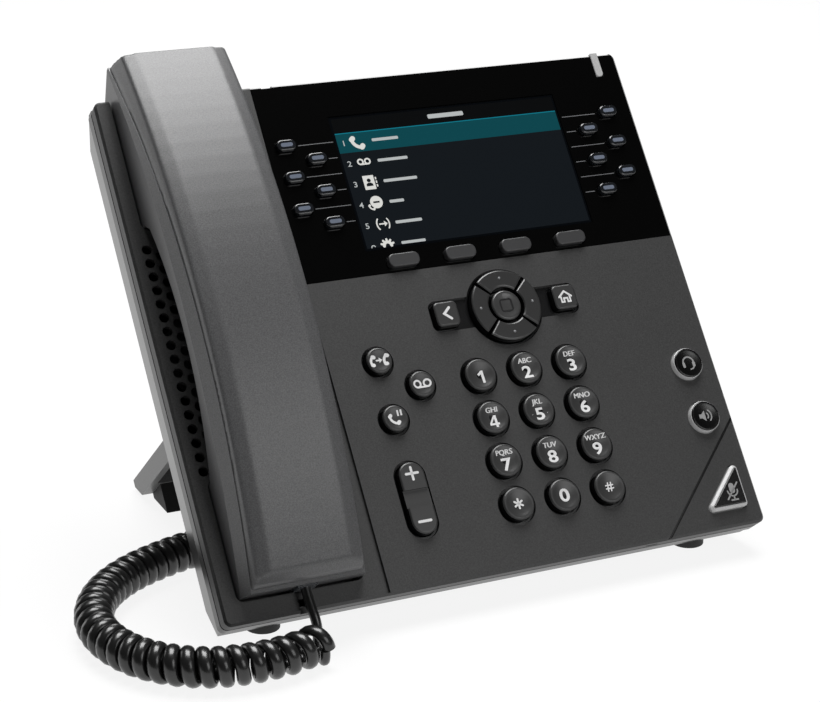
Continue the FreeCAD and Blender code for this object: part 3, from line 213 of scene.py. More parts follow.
@dataclass(frozen=True)
class MouldedPlastic:
    """Injection-moulded plastic with a spark-eroded or polished mould surface.

    Attributes:
        name: material name.
        colour: sRGB hex value of the body colour.
        roughness: mean roughness.
        grain_mm: size of one pit of the mould texture as drawn; 0 for a polished mould.
        grain_depth_mm: height of the texture as drawn.
        mottle: share by which colour and roughness wander over large areas.
        ior: index of refraction, 1.53 for ABS.
        coat: weight of a clear lacquer.
        clear: transmission weight of a translucent grade.
        milky: subsurface weight of a milky grade.
        glow: emission strength; on these finishes it is painted light that makes a part look brighter.
        speck: share by which single grains differ in colour.
        cloud_mm: size of the areas over which the finish wanders.
        lacquer_roughness: roughness of the clear lacquer.
    """
    name: str
    colour: str
    roughness: float = 0.45
    grain_mm: float = 0.5
    grain_depth_mm: float = 0.012
    mottle: float = 0.06
    ior: float = 1.53
    coat: float = 0.0
    clear: float = 0.0
    milky: float = 0.0
    glow: float = 0.0
    speck: float = 0.0
    cloud_mm: float = 28.0
    lacquer_roughness: float = 0.05

    @cache
    def build(self) -> bpy.types.Material:
        """Make the node material, once.

        Returns:
            The material.
        """
        colour = srgb(self.colour)
        material, tree, shader = start_material(self.name, {
            "IOR": self.ior, "Coat Weight": self.coat, "Coat Roughness": self.lacquer_roughness,
            "Transmission Weight": self.clear, "Subsurface Weight": self.milky,
            "Subsurface Radius": (MM, MM, MM), "Emission Color": colour, "Emission Strength": self.glow})
        place = {"Vector": add_node(tree, "ShaderNodeTexCoord").outputs["Object"]}
        cloud = add_node(tree, "ShaderNodeTexNoise",
                         {"Scale": 1 / (self.cloud_mm * MM), "Detail": 3.0}, place)
        tone = add_node(tree, "ShaderNodeMix", {"data_type": "RGBA", 6: shaded(colour, -self.mottle),
                                                7: shaded(colour, self.mottle)},
                        {0: cloud.outputs["Fac"]}).outputs[2]
        spread = 0.5 * self.mottle
        rough = add_node(tree, "ShaderNodeMapRange",
                         {"To Min": max(0.02, self.roughness * (1 - spread)),
                          "To Max": min(1.0, self.roughness * (1 + spread))},
                         {"Value": cloud.outputs["Fac"]})
        tree.links.new(rough.outputs["Result"], shader.inputs["Roughness"])
        if self.grain_mm:
            grain = add_node(tree, "ShaderNodeTexNoise",
                             {"Scale": 1 / (self.grain_mm * MM), "Detail": 2.0, "Roughness": 0.6}, place)
            bump = add_node(tree, "ShaderNodeBump", {"Strength": 1.0, "Distance": self.grain_depth_mm * MM},
                            {"Height": grain.outputs["Fac"]})
            tree.links.new(bump.outputs["Normal"], shader.inputs["Normal"])
            if self.speck:
                level = add_node(tree, "ShaderNodeMapRange",
                                 {"From Min": 0.3, "From Max": 0.7, "To Min": 1 - self.speck,
                                  "To Max": 1 + self.speck}, {"Value": grain.outputs["Fac"]})
                tone = add_node(tree, "ShaderNodeVectorMath", {"operation": "MULTIPLY"},
                                {0: tone, 1: level.outputs["Result"]}).outputs[0]
        tree.links.new(tone, shader.inputs["Base Color"])
        return material


# The grains below are drawn at 0.2 to 0.55 mm, coarser than the real 0.1 mm, which would not show.
# Spark-eroded ABS: a dry, even charcoal with a fine pebble that breaks up highlights.
HOUSING_ABS = MouldedPlastic("housing_abs_spark_eroded", "#272727", 0.50, 0.55, 0.035, 0.06, speck=0.45)
# The back half comes from a smoother mould: seen along its side, it mirrors the pale surroundings.
REAR_ABS = MouldedPlastic("rear_housing_abs_smooth", "#303030", 0.30, 0.5, 0.012, 0.05, speck=0.2)
# The same ABS from a finer mould: smoother, so the highlight on the handset is broad and soft.
HANDSET_ABS = MouldedPlastic("handset_abs_satin", "#4c4c4d", 0.38, 0.45, 0.028, 0.04, speck=0.35)
# The stand and its tabs come from a smoother mould and are coloured a lighter grey than the housing.
STAND_ABS = MouldedPlastic("stand_abs_smooth", "#5a5a5a", 0.36, 0.5, 0.012, 0.05, speck=0.2)
# Polished walls of the key wells, and the sides of the keys, coloured near black as painted shade: the shade
# in the wells, painted in, so they read as black rings.
WELL_SHADE_BLACK = MouldedPlastic("key_well_abs_polished", "#0a0a0b", 0.25, 0.0, 0.0, 0.05)
# Polished ABS: the near-black surround of the screen, which mirrors the dark room.
PANEL_ABS = MouldedPlastic("panel_abs_black_polished", "#030303", 0.12, 0.0, 0.0, 0.05)
# Key caps moulded in black ABS with a satin top: each dish catches one soft highlight.
KEY_ABS = MouldedPlastic("key_abs_satin", "#2e2e2e", 0.34, 0.30, 0.006, 0.05)
# Soft-touch lacquer on the keys under the screen: greyer and flatter than the dial.
SOFT_KEY_ABS = MouldedPlastic("soft_key_abs_lacquered", "#2f2f30", 0.38, 0.35, 0.008, 0.05)
# The ring is moulded like the dial, but its edges are brighter.
RING_ABS = MouldedPlastic("ring_key_abs_satin", "#2a2a2a", 0.30, 0.30, 0.006, 0.05, coat=0.2)
# Lacquered ABS of the select key: its rolled rim catches the lamp as a thin line.
SELECT_ABS = MouldedPlastic("select_key_abs_lacquered", "#343434", 0.30, 0.0, 0.0, 0.04, 1.55, 0.25)
# Raised dots of the ring: the same black as the ring, coloured light grey at their tops as a painted
# highlight.
DOT_HIGHLIGHT_GREY = MouldedPlastic("nav_dot_abs_worn", "#77787a", 0.35, 0.0, 0.0, 0.05)
# Smoked polycarbonate over the line lamps: dark and glossy until lit.
LINE_KEY_PC = MouldedPlastic("line_key_smoked_polycarbonate", "#16181b", 0.16, 0.0, 0.0, 0.03, 1.58, 0.5)
# Window moulded into the line key's top, in the bluish grey of the unlit lamp under it; its faint glow is
# painted light that stands in for highlights on the lens.
LINE_LENS_PC = MouldedPlastic("line_lens_polycarbonate", "#5e6572", 0.18, 0.0, 0.0, 0.05, 1.58, 0.4,
                              glow=0.18)
# Milky polycarbonate light guide, soft and white; its glow is painted light that makes it look bright.
LIGHT_GUIDE_PC = MouldedPlastic("light_guide_milky_polycarbonate", "#8e8e8e", 0.3, 0.0, 0.0, 0.03, 1.58,
                                milky=0.3, glow=0.5)
# Translucent milky skirt under the black caps of the lit keys, a pale ring; its glow is painted light that
# brightens the ring.
SKIRT_PC = MouldedPlastic("key_skirt_milky_polycarbonate", "#a8a8a8", 0.30, 0.0, 0.0, 0.05, 1.58, milky=0.2,
                          glow=0.20)
# Gloss black cap of the lit keys, opaque round its legend: it hides the lamp.
LIT_CAP_ABS = MouldedPlastic("lit_key_cap_abs_gloss", "#060606", 0.22, 0.0, 0.0, 0.05)
# Nitrile rubber from a matt mould: it takes no highlight.
FOOT_RUBBER = MouldedPlastic("foot_moulded_rubber", "#151515", 0.65, 0.4, 0.02, 0.08, 1.52)
# Extruded polyurethane jacket: each turn of the coil shows a wet-looking highlight.
CORD_TPU = MouldedPlastic("cord_extruded_polyurethane", "#1a1a1a", 0.30, 0.5, 0.004, 0.05, 1.5, 0.25)
# Clear polycarbonate plug: light passes through its edges.
PLUG_PC = MouldedPlastic("plug_clear_polycarbonate", "#55585c", 0.15, 0.0, 0.0, 0.02, 1.58, clear=0.5)
# Hard-coated glass: a black mirror at the edge of the picture.
SCREEN_GLASS = MouldedPlastic("screen_hard_coated_glass", "#05070a", 0.08, 0.0, 0.0, 0.02, 1.5)
# Solder mask on the circuit board, screened and cured: an uneven, half-gloss green.
BOARD_MASK = MouldedPlastic("board_green_solder_mask", "#0b3a22", 0.35, 0.3, 0.01, 0.10, 1.5)
# Stove enamel on the loudspeaker's steel basket: an even black with a slight orange peel.
SPEAKER_STEEL = MouldedPlastic("loudspeaker_black_enamel", "#141414", 0.35, 0.4, 0.01, 0.05, 1.5)
# Pad-printed legend: soft white print with a slight glow, which is painted light.
LEGEND_INK = MouldedPlastic("legend_pad_print_white", "#bcbcbc", 0.5, 0.2, 0.003, 0.02, 1.5, glow=0.28)
# The same ink in grey on the gloss caps: a legend fainter than the dial's, with a glow that is painted
# light.
GREY_INK = MouldedPlastic("legend_pad_print_grey", "#7c7c7c", 0.5, 0.2, 0.003, 0.02, 1.5, glow=0.25)
# Thin grey lines printed on the panel from the picture's edge to each line key, with a glow that is painted
# light.
LEADER_INK = MouldedPlastic("leader_pad_print_grey", "#5c5d5f", 0.5, 0.2, 0.003, 0.02, 1.5, glow=0.2)
# Outline etched into the select key's lacquer: dry black that takes no light.
OUTLINE_INK = MouldedPlastic("select_outline_laser_etched", "#020203", 0.9, 0.2, 0.003, 0.02, 1.5)


# Cells of the screen drawn at 0.6 mm, coarser than the real 0.2 mm, which would not be seen.
SCREEN_CELL_MM = 0.6
SCREEN_MOTTLE = 0.06


class ScreenColour(Enum):
    """Lit colours of the screen's picture."""
    BACKGROUND = "#15191d"
    TITLE = "#0c0d0e"
    BAR = "#0f454d"
    BAR_EDGE = "#12788a"
    ICON = "#d8d8d4"
    WORD = "#b4b8b8"

    @cache
    def build(self) -> bpy.types.Material:
        """Make a backlit film, once: its own colour as light, through the faint grid of its cells.

        Returns:
            The material.
        """
        colour = srgb(self.value)
        material, tree, shader = start_material(f"screen_film_{self.name.lower()}", {
            "Base Color": (0.0, 0.0, 0.0, 1.0), "Roughness": 0.2, "Specular IOR Level": 0.05,
            "Emission Strength": 1.0})
        place = add_node(tree, "ShaderNodeTexCoord")
        cells = add_node(tree, "ShaderNodeTexNoise", {"Scale": 1 / (SCREEN_CELL_MM * MM)},
                         {"Vector": place.outputs["Object"]})
        tone = add_node(tree, "ShaderNodeMix", {"data_type": "RGBA", 6: shaded(colour, -SCREEN_MOTTLE),
                                                7: shaded(colour, SCREEN_MOTTLE)},
                        {0: cells.outputs["Fac"]})
        tree.links.new(tone.outputs[2], shader.inputs["Emission Color"])
        return material


# ---------------------------------------------------------------- mesh helpers

CREASE_DEG = 50


def piece_from(name: str, verts: Iterable[Sequence[float]], faces: Iterable[Sequence[int]],
               material: bpy.types.Material, matrix: Optional[Matrix] = None, smooth: bool = False
               ) -> bpy.types.Object:
    """Make a mesh object.

    Args:
        name: piece name.
        verts: vertices, in the frame that matrix carries into the row frame.
        faces: vertex indices of each face.
        material: its finish.
        matrix: frame of the vertices; None for row metres.
        smooth: whether the faces are shaded smooth, apart from sharp edges.

    Returns:
        The linked object, with its place in its mesh.
    """
    mesh = bpy.data.meshes.new(name)
    mesh.from_pydata([tuple(v) for v in verts], [], [tuple(f) for f in faces])
    if matrix is not None:
        mesh.transform(matrix)
    mesh.materials.append(material)
    mesh.polygons.foreach_set("use_smooth", [smooth] * len(mesh.polygons))
    if smooth:
        mesh.set_sharp_from_angle(angle=math.radians(CREASE_DEG))
    mesh.update()
    obj = bpy.data.objects.new(name, mesh)
    bpy.context.scene.collection.objects.link(obj)
    return obj


def mesh_of(curve: bpy.types.Curve) -> bpy.types.Mesh:
    """Turn a curve into a mesh and remove the curve.

    Args:
        curve: a curve or text curve that no object uses.

    Returns:
        A mesh that the caller reads and removes.
    """
    holder = bpy.data.objects.new(curve.name, curve)
    bpy.context.scene.collection.objects.link(holder)
    bpy.context.view_layer.update()
    mesh = bpy.data.meshes.new_from_object(holder)
    bpy.data.objects.remove(holder)
    bpy.data.curves.remove(curve)
    return mesh


def circle(x: float, y: float, radius: float, steps: int) -> list[Point2]:
    """Points evenly round a circle."""
    return [(x + radius * math.cos(math.tau * n / steps), y + radius * math.sin(math.tau * n / steps))
            for n in range(steps)]


def lathe(name: str, centre: Vector, profile: Sequence[Point2], material: bpy.types.Material,
          steps: int = 56) -> bpy.types.Object:
    """Turn a profile about an axis along the face's normal.

    Args:
        name: piece name.
        centre: a point of the axis, in face millimetres.
        profile: radius and level of each ring, from the axis at the top to the axis at the bottom.
        material: its finish.
        steps: divisions round the axis.

    Returns:
        The closed solid.
    """
    verts = [(centre.x, centre.y, profile[0][1]), (centre.x, centre.y, profile[-1][1])]
    rings = profile[1:-1]
    for radius, level in rings:
        verts += [(*point, level) for point in circle(centre.x, centre.y, radius, steps)]
    faces: list[tuple[int, ...]] = []
    for n in range(steps):
        after = (n + 1) % steps
        faces.append((0, 2 + n, 2 + after))
        for ring in range(len(rings) - 1):
            first, second = 2 + ring * steps, 2 + (ring + 1) * steps
            faces.append((first + n, second + n, second + after, first + after))
        last = 2 + (len(rings) - 1) * steps
        faces.append((1, last + after, last + n))
    return piece_from(name, verts, faces, material, FACE.matrix, smooth=True)


class Artwork:
    """Printed or lit artwork, gathered as polygons in one plane of the face frame."""
    MITRE = 0.35
    END_STEPS = 6
    CORNER_STEP = 15
    SIZE_PER_CAPITAL = 1.38

    def __init__(self, level: float, origin: Sequence[float] = (0.0, 0.0)) -> None:
        """Start an empty drawing, in millimetres.

        Args:
            level: its level above the face.
            origin: the point of the face that it is drawn about.
        """
        self.level, self.origin = level, origin
        self.verts: list[Point3] = []
        self.faces: list[list[int]] = []
        self.at(0, 0)

    def at(self, x: float, y: float, scale: float = 1.0, turn: float = 0.0) -> "Artwork":
        """Draw from here on about another place.

        Args:
            x, y: that place, from the origin.
            scale: factor on what is drawn.
            turn: its turn, in degrees.

        Returns:
            The artwork itself.
        """
        self.pen = (Matrix.Translation((self.origin[0] + x, self.origin[1] + y, 0))
                    @ Matrix.Rotation(math.radians(turn), 4, "Z") @ Matrix.Diagonal((scale, scale, 1, 1)))
        return self

    def draw(self, steps: Sequence[tuple]) -> None:
        """Carry out drawing steps, each a method's name followed by its values."""
        for step, *values in steps:
            getattr(self, step)(*values)

    def add(self, points: Sequence[Point2], faces: Iterable[Sequence[int]]) -> None:
        """Add a mesh through the pen.

        Args:
            points: its vertices.
            faces: vertex indices of each face.
        """
        start = len(self.verts)
        for point in points:
            placed = self.pen @ Vector((point[0], point[1], 0))
            self.verts.append((placed.x, placed.y, self.level))
        self.faces += [[start + index for index in face] for face in faces]

    def polygon(self, points: Sequence[Point2]) -> None:
        """Add a filled polygon."""
        self.add(points, [range(len(points))])

    def stroke(self, points: Sequence[Point2], width: float, closed: bool = False) -> None:
        """Add a line of even width with mitred corners, and round ends if it is open.

        Args:
            points: the line's points.
            width: its width.
            closed: whether it runs back to its start.
        """
        line = [Vector(p) for p in points]
        count = len(line)
        left, right = [], []
        for number, point in enumerate(line):
            ways = []
            if closed or number:
                ways.append((point - line[number - 1]).normalized())
            if closed or number < count - 1:
                ways.append((line[(number + 1) % count] - point).normalized())
            mean = (ways[0] + ways[-1]).normalized()
            side = Vector((-mean.y, mean.x)) * (width / 2 / max(self.MITRE, mean.dot(ways[-1])))
            left.append(point + side)
            right.append(point - side)
        spans = range(count if closed else count - 1)
        self.add(left + right, [(n, count + n, count + (n + 1) % count, (n + 1) % count) for n in spans])
        if closed:
            return
        for end, way in ((line[0], line[0] - line[1]), (line[-1], line[-1] - line[-2])):
            turns = [math.atan2(way.y, way.x) + math.pi * (step / self.END_STEPS - 0.5)
                     for step in range(self.END_STEPS + 1)]
            self.polygon([(end.x + math.cos(turn) * width / 2, end.y + math.sin(turn) * width / 2)
                          for turn in turns])

    def arc(self, x: float, y: float, radius: float, start: float, end: float, width: float,
            steps: int = 16) -> None:
        """Add a stroke along an arc.

        Args:
            x, y: centre of the arc.
            radius: its radius.
            start, end: its ends, in degrees; 360 apart for a ring.
            width: width of the stroke.
            steps: divisions along it.
        """
        closed = abs(end - start) >= 360
        count = steps if closed else steps + 1
        turns = [math.radians(start + (end - start) * n / steps) for n in range(count)]
        self.stroke([(x + radius * math.cos(t), y + radius * math.sin(t)) for t in turns], width, closed)

    def disc(self, x: float, y: float, radius: float, steps: int = 24) -> None:
        """Add a filled disc."""
        self.polygon(circle(x, y, radius, steps))

    def bar(self, left: float, right: float, low: float, high: float, corner: float = 1e-4) -> None:
        """Add a filled rectangle with rounded corners.

        Args:
            left, right, low, high: its sides.
            corner: radius of its corners.
        """
        points = []
        for x, y, start in ((right, high, 0), (left, high, 90), (left, low, 180), (right, low, 270)):
            inner_x = x - math.copysign(corner, x - (left + right) / 2)
            inner_y = y - math.copysign(corner, y - (low + high) / 2)
            turns = [math.radians(start + self.CORNER_STEP * n) for n in range(7)]
            points += [(inner_x + corner * math.cos(turn), inner_y + corner * math.sin(turn))
                       for turn in turns]
        self.polygon(points)

    def text(self, words: str, x: float, y: float, height: float, bold: float = 0.0,
             wide: float = 1.0) -> None:
        """Add letters or digits, centred.

        Args:
            words: the characters.
            x, y: their middle.
            height: height of a capital.
            bold: how far the outline grows.
            wide: factor on the width.
        """
        curve = bpy.data.curves.new("words", "FONT")
        curve.body, curve.size = words, height * self.SIZE_PER_CAPITAL
        curve.offset, curve.resolution_u = bold, 4
        mesh = mesh_of(curve)
        xs, ys = [v.co.x for v in mesh.vertices], [v.co.y for v in mesh.vertices]
        across, up = (min(xs) + max(xs)) / 2 - x, (min(ys) + max(ys)) / 2 - y
        self.add([((v.co.x - across - x) * wide + x, v.co.y - up) for v in mesh.vertices],
                 [tuple(p.vertices) for p in mesh.polygons])
        bpy.data.meshes.remove(mesh)

    def receiver(self, reach: float, width: float) -> None:
        """Add a handset pictogram, lying along the pen's y axis and bulging to its left.

        Args:
            reach: its size.
            width: thickness of its grip.
        """
        self.arc(reach * 0.95, 0, reach * 1.35, 138, 222, width, 10)
        for side in (1, -1):
            end = (reach * (0.95 - 1.35 * 0.743), side * reach * 1.35 * 0.669)
            self.stroke([end, (end[0] + reach * 0.30, end[1] - side * reach * 0.02)], width * 1.45)

    def place(self, name: str, finish: "MouldedPlastic | ScreenColour", body: str, slot: str,
              dish: Optional[tuple[Vector, float, float]] = None, thick: float = 0.12) -> bpy.types.Object:
        """Make the piece and ride it on a body.

        Args:
            name: piece name.
            finish: its finish.
            body: the body it rides on.
            slot: the record's material slot; not used.
            dish: centre, radius and depth of the dished cap that the artwork lies in.
            thick: how far it sinks below its level, in millimetres.

        Returns:
            The piece.
        """
        verts = self.verts
        if dish:
            centre, radius, depth = dish
            verts = [(x, y, z - depth * max(0.0, 1 - (
                (x - centre.x) ** 2 + (y - centre.y) ** 2) / radius ** 2)) for x, y, z in verts]
        piece = piece_from(name, verts, self.faces, finish.build(), FACE.matrix)
        solid = piece.modifiers.new("ink_thickness", "SOLIDIFY")
        solid.thickness, solid.offset = thick * MM, -1.0
        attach(piece, body)
        return piece


# ---------------------------------------------------------------- cord

def nurbs_line(points: Sequence[Vector], resolution: int = 24) -> list[Vector]:
    """Read the points of a smooth line from a NURBS spline with given control points.

    Args:
        points: control points, in row metres.
        resolution: samples per control point.

    Returns:
        Points along the spline, in order.
    """
    curve = bpy.data.curves.new("route", "CURVE")
    curve.dimensions = "3D"
    curve.resolution_u = resolution
    spline = curve.splines.new("NURBS")
    spline.points.add(len(points) - 1)
    for point, place in zip(spline.points, points):
        point.co = (*place, 1.0)
    spline.order_u = 3
    spline.use_endpoint_u = True
    mesh = mesh_of(curve)
    line = [v.co.copy() for v in mesh.vertices]
    bpy.data.meshes.remove(mesh)
    return line


def length_of(line: Sequence[Vector]) -> float:
    """Length of a line through its points."""
    return sum((second - first).length for first, second in zip(line, line[1:]))


def evenly(line: Sequence[Vector], step: float) -> list[Vector]:
    """Space points evenly along a line.

    Args:
        line: the line's points.
        step: distance wanted between the new points.

    Returns:
        The new points, from end to end.
    """
    lengths = [0.0]
    for first, second in zip(line, line[1:]):
        lengths.append(lengths[-1] + (second - first).length)
    count = max(2, round(lengths[-1] / step))
    spaced, span = [], 0
    for number in range(count + 1):
        want = lengths[-1] * number / count
        while span < len(line) - 2 and lengths[span + 1] < want:
            span += 1
        share = (want - lengths[span]) / max(1e-12, lengths[span + 1] - lengths[span])
        spaced.append(line[span].lerp(line[span + 1], share))
    return spaced


def ways_along(line: Sequence[Vector]) -> list[Vector]:
    """Direction of a line at each of its points."""
    last = len(line) - 1
    return [(line[min(n + 1, last)] - line[max(n - 1, 0)]).normalized() for n in range(last + 1)]


def carried_frames(line: Sequence[Vector]) -> list[tuple[Vector, Vector]]:
    """Carry a pair of side directions along a line without twist.

    Args:
        line: the line's points.

    Returns:
        The two directions at each point.
    """
    ways = ways_along(line)
    side = ways[0].cross(Vector((0, 0, 1))).normalized()
    frames = []
    for way in ways:
        side = (side - way * side.dot(way)).normalized()
        frames.append((side, way.cross(side)))
    return frames


def tube_mesh(name: str, line: Sequence[Vector], frames: Sequence[tuple[Vector, Vector]],
              section_mm: tuple[float, float], sides: int = 12) -> bpy.types.Object:
    """Make a closed oval tube of cord jacket whose ring centres are the line's points.

    Args:
        name: piece name.
        line: ring centres, in row metres.
        frames: the directions of the section's width and thickness at each centre.
        section_mm: width and thickness of the section.
        sides: points in a ring.

    Returns:
        The closed tube.
    """
    verts, faces = [], []
    wide, thick = section_mm
    for centre, (side, up) in zip(line, frames):
        for step in range(sides):
            turn = math.tau * step / sides
            verts.append(centre + (side * math.cos(turn) * wide + up * math.sin(turn) * thick) * MM / 2)
    for ring in range(len(line) - 1):
        for step in range(sides):
            a, b = ring * sides + step, ring * sides + (step + 1) % sides
            faces.append((a, b, b + sides, a + sides))
    faces.append(tuple(reversed(range(sides))))
    faces.append(tuple(range((len(line) - 1) * sides, len(line) * sides)))
    return piece_from(name, verts, faces, CORD_TPU.build(), smooth=True)


@dataclass(frozen=True)
class HandsetCord:
    """Curly cord from the handset's lower end round the left side to the socket in the back.

    Attributes:
        lead_mm: diameter of the straight lead.
        wire_mm: width of the curly wire along the coil and its thickness across it.
        coil_mm: outer diameter of the coil.
        pitch_mm: distance between turns where they lie close, and how much more it is in the first turns.
        settle_mm: distance along the coil over which the first turns close up.
        run_out_turns: turns over which the coil's end runs out into the tail.
        steps_per_turn: points in a turn.
        smooth_share: length of the coil's smooth centre line as a share of its route's runs.
        lead_m: length of the lead; not used.
        wire_m: length of the curly wire and tail, unwound; not used.
        lead: route of the lead, from the face's lower edge, in millimetres.
        coil: route of the coil's centre.
        tail: route of the tail to the base's socket.
    """
    lead_mm: float = 3.6
    wire_mm: tuple[float, float] = (4.9, 3.6)
    coil_mm: float = 14.4
    pitch_mm: tuple[float, float] = (5.3, 2.6)
    settle_mm: float = 12.0
    run_out_turns: float = 2.6
    steps_per_turn: int = 18
    smooth_share: float = 0.985
    lead_m: float = 0.0357
    wire_m: float = 1.73
    lead: tuple[Point3, ...] = (
        (-79.3, 2.0, 21.444), (-79.3, -1.858, 16.848), (-78.6, -6.0, 12.4), (-78.6, -7.4, 7.4),
        (-79.2, -7.6, 2.3), (-79.8, -12.6, 2.1), (-80.2, -17.9, 2.3), (-80.6, -18.05, 7.5))
    coil: tuple[Point3, ...] = (
        (-80.6, -12.6, 7.5), (-86.4, -14.6, 7.5), (-94.5, -16.4, 7.4), (-106.5, -17.0, 7.5),
        (-119.5, -14.8, 7.5), (-131.2, -8.2, 7.6), (-140.5, 2.6, 7.5), (-145.8, 16.0, 7.6),
        (-146.6, 30.5, 7.5), (-142.2, 44.4, 7.6), (-133.5, 56.4, 7.5), (-121.5, 65.4, 7.6),
        (-108.0, 71.6, 7.5), (-94.0, 75.8, 7.6), (-79.6, 77.2, 7.5), (-65.0, 76.4, 7.6),
        (-50.6, 75.2, 7.5), (-36.2, 75.8, 7.6), (-22.2, 78.8, 7.5), (-9.4, 84.2, 7.6))
    tail: tuple[Point3, ...] = (
        (1.2, 88.67, 7.68), (7.4, 99.0, 5.0), (7.8, 110.0, 3.6), (1.8, 119.2, 2.8), (-8.4, 123.8, 2.6),
        (-19.4, 122.8, 2.6), (-29.4, 117.8, 2.8), (-38.0, 110.6, 3.6), (-45.2, 102.6, 6.0),
        (-50.0, 93.8, 10.6), (-51.8, 85.0, 17.8), (-50.0, 75.97, 25.43), (-50.0, 66.39, 33.46))

    def row(self, points: Sequence[Point3]) -> list[Vector]:
        """Route points in row metres."""
        return [Vector((x * MM, y * MM + FACE.edge_y, z * MM)) for x, y, z in points]

    def helix(self) -> tuple[list[Vector], list[tuple[Vector, Vector]]]:
        """Wind the coil's turns, which run out into the straight tail.

        Returns:
            The wire's centre line, and the directions of its section's width and thickness.
        """
        pitch, wider = self.pitch_mm
        step = pitch * MM / self.steps_per_turn
        route = evenly(nurbs_line(self.row(self.coil + self.tail)), step)
        coil_run = length_of([Vector(point) for point in self.coil]) * MM * self.smooth_share
        mean_radius = (self.coil_mm - self.wire_mm[1]) / 2 * MM
        ramp = self.run_out_turns * pitch * MM
        wire, radials, turn = [], [], math.pi
        for number, (centre, (side, up)) in enumerate(zip(route, carried_frames(route))):
            along = number * step
            share = max(0.0, min(1.0, (coil_run - along) / ramp))
            share = share * share * (3 - 2 * share)
            radial = side * math.cos(turn) + up * math.sin(turn)
            wire.append(centre + radial * mean_radius * share)
            radials.append(radial)
            here = pitch + wider * math.exp(-along / (self.settle_mm * MM))
            turn += share * math.tau * step / (here * MM)
        sections = []
        for way, radial in zip(ways_along(wire), radials):
            out = (radial - way * radial.dot(way)).normalized()
            sections.append((way.cross(out), out))
        return wire, sections

    def build(self) -> None:
        """Make the lead and the curly length."""
        lead_line = evenly(nurbs_line(self.row(self.lead)), MM)
        lead = tube_mesh("handset_cord_straight_lead", lead_line, carried_frames(lead_line),
                         (self.lead_mm, self.lead_mm))
        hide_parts("handset_cord_lead")
        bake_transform(lead)
        wire, sections = self.helix()
        curl = tube_mesh("handset_cord_curl", wire, sections, self.wire_mm)
        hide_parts("handset_cord_coil", "handset_cord_tail")
        LOG.info("curly cord: %.3f m of wire", length_of(wire))
        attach(curl, "base")


# ---------------------------------------------------------------- handset

@dataclass(frozen=True)
class HandsetSkin:
    """Outer shell of the handset, redrawn from its solid with edges rolled as a mould rolls them.

    Attributes:
        grid_mm: spacing of the new mesh.
        rounds: passes of relaxing, which set the size of the rolled edges.
        relaxing: how far a pass moves a point towards the middle of its neighbours.
        join_mm: distance from the inner shell within which the skin lies on it, and where that fades out.
    """
    grid_mm: float = 0.7
    rounds: int = 4
    relaxing: float = 0.5
    join_mm: tuple[float, float] = (0.8, 2.0)

    def build(self) -> None:
        """Remesh and relax a copy of the shell."""
        skin = bpy.data.objects.new("handset_outer_skin", frame["nodes"]["handset_outer_shell"].data.copy())
        bpy.context.scene.collection.objects.link(skin)
        grid = skin.modifiers.new("even_grid", "REMESH")
        grid.mode, grid.voxel_size = "VOXEL", self.grid_mm * MM
        relax = skin.modifiers.new("rolled_edges", "SMOOTH")
        relax.factor, relax.iterations = self.relaxing, self.rounds
        bpy.context.view_layer.update()
        mesh = bpy.data.meshes.new_from_object(skin.evaluated_get(bpy.context.evaluated_depsgraph_get()))
        skin.modifiers.clear()
        skin.data = mesh
        self.close_joint(mesh)
        mesh.materials.clear()
        mesh.materials.append(HANDSET_ABS.build())
        mesh.polygons.foreach_set("use_smooth", [True] * len(mesh.polygons))
        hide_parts("handset_outer_shell")
        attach(skin, "handset")

    def close_joint(self, mesh: bpy.types.Mesh) -> None:
        """Draw the skin's lower edge onto the inner shell, so that the parting line stays shut.

        Args:
            mesh: the relaxed skin.
        """
        inner = frame["nodes"]["handset_inner_shell"].data
        shell = BVHTree.FromPolygons([v.co for v in inner.vertices],
                                     [tuple(p.vertices) for p in inner.polygons])
        near, far = (reach * MM for reach in self.join_mm)
        for vertex in mesh.vertices:
            place, _, _, gap = shell.find_nearest(vertex.co, far)
            if place is not None:
                share = max(0.0, min(1.0, (far - gap) / (far - near)))
                vertex.co += (place - vertex.co) * share
        mesh.update()


# ---------------------------------------------------------------- keys

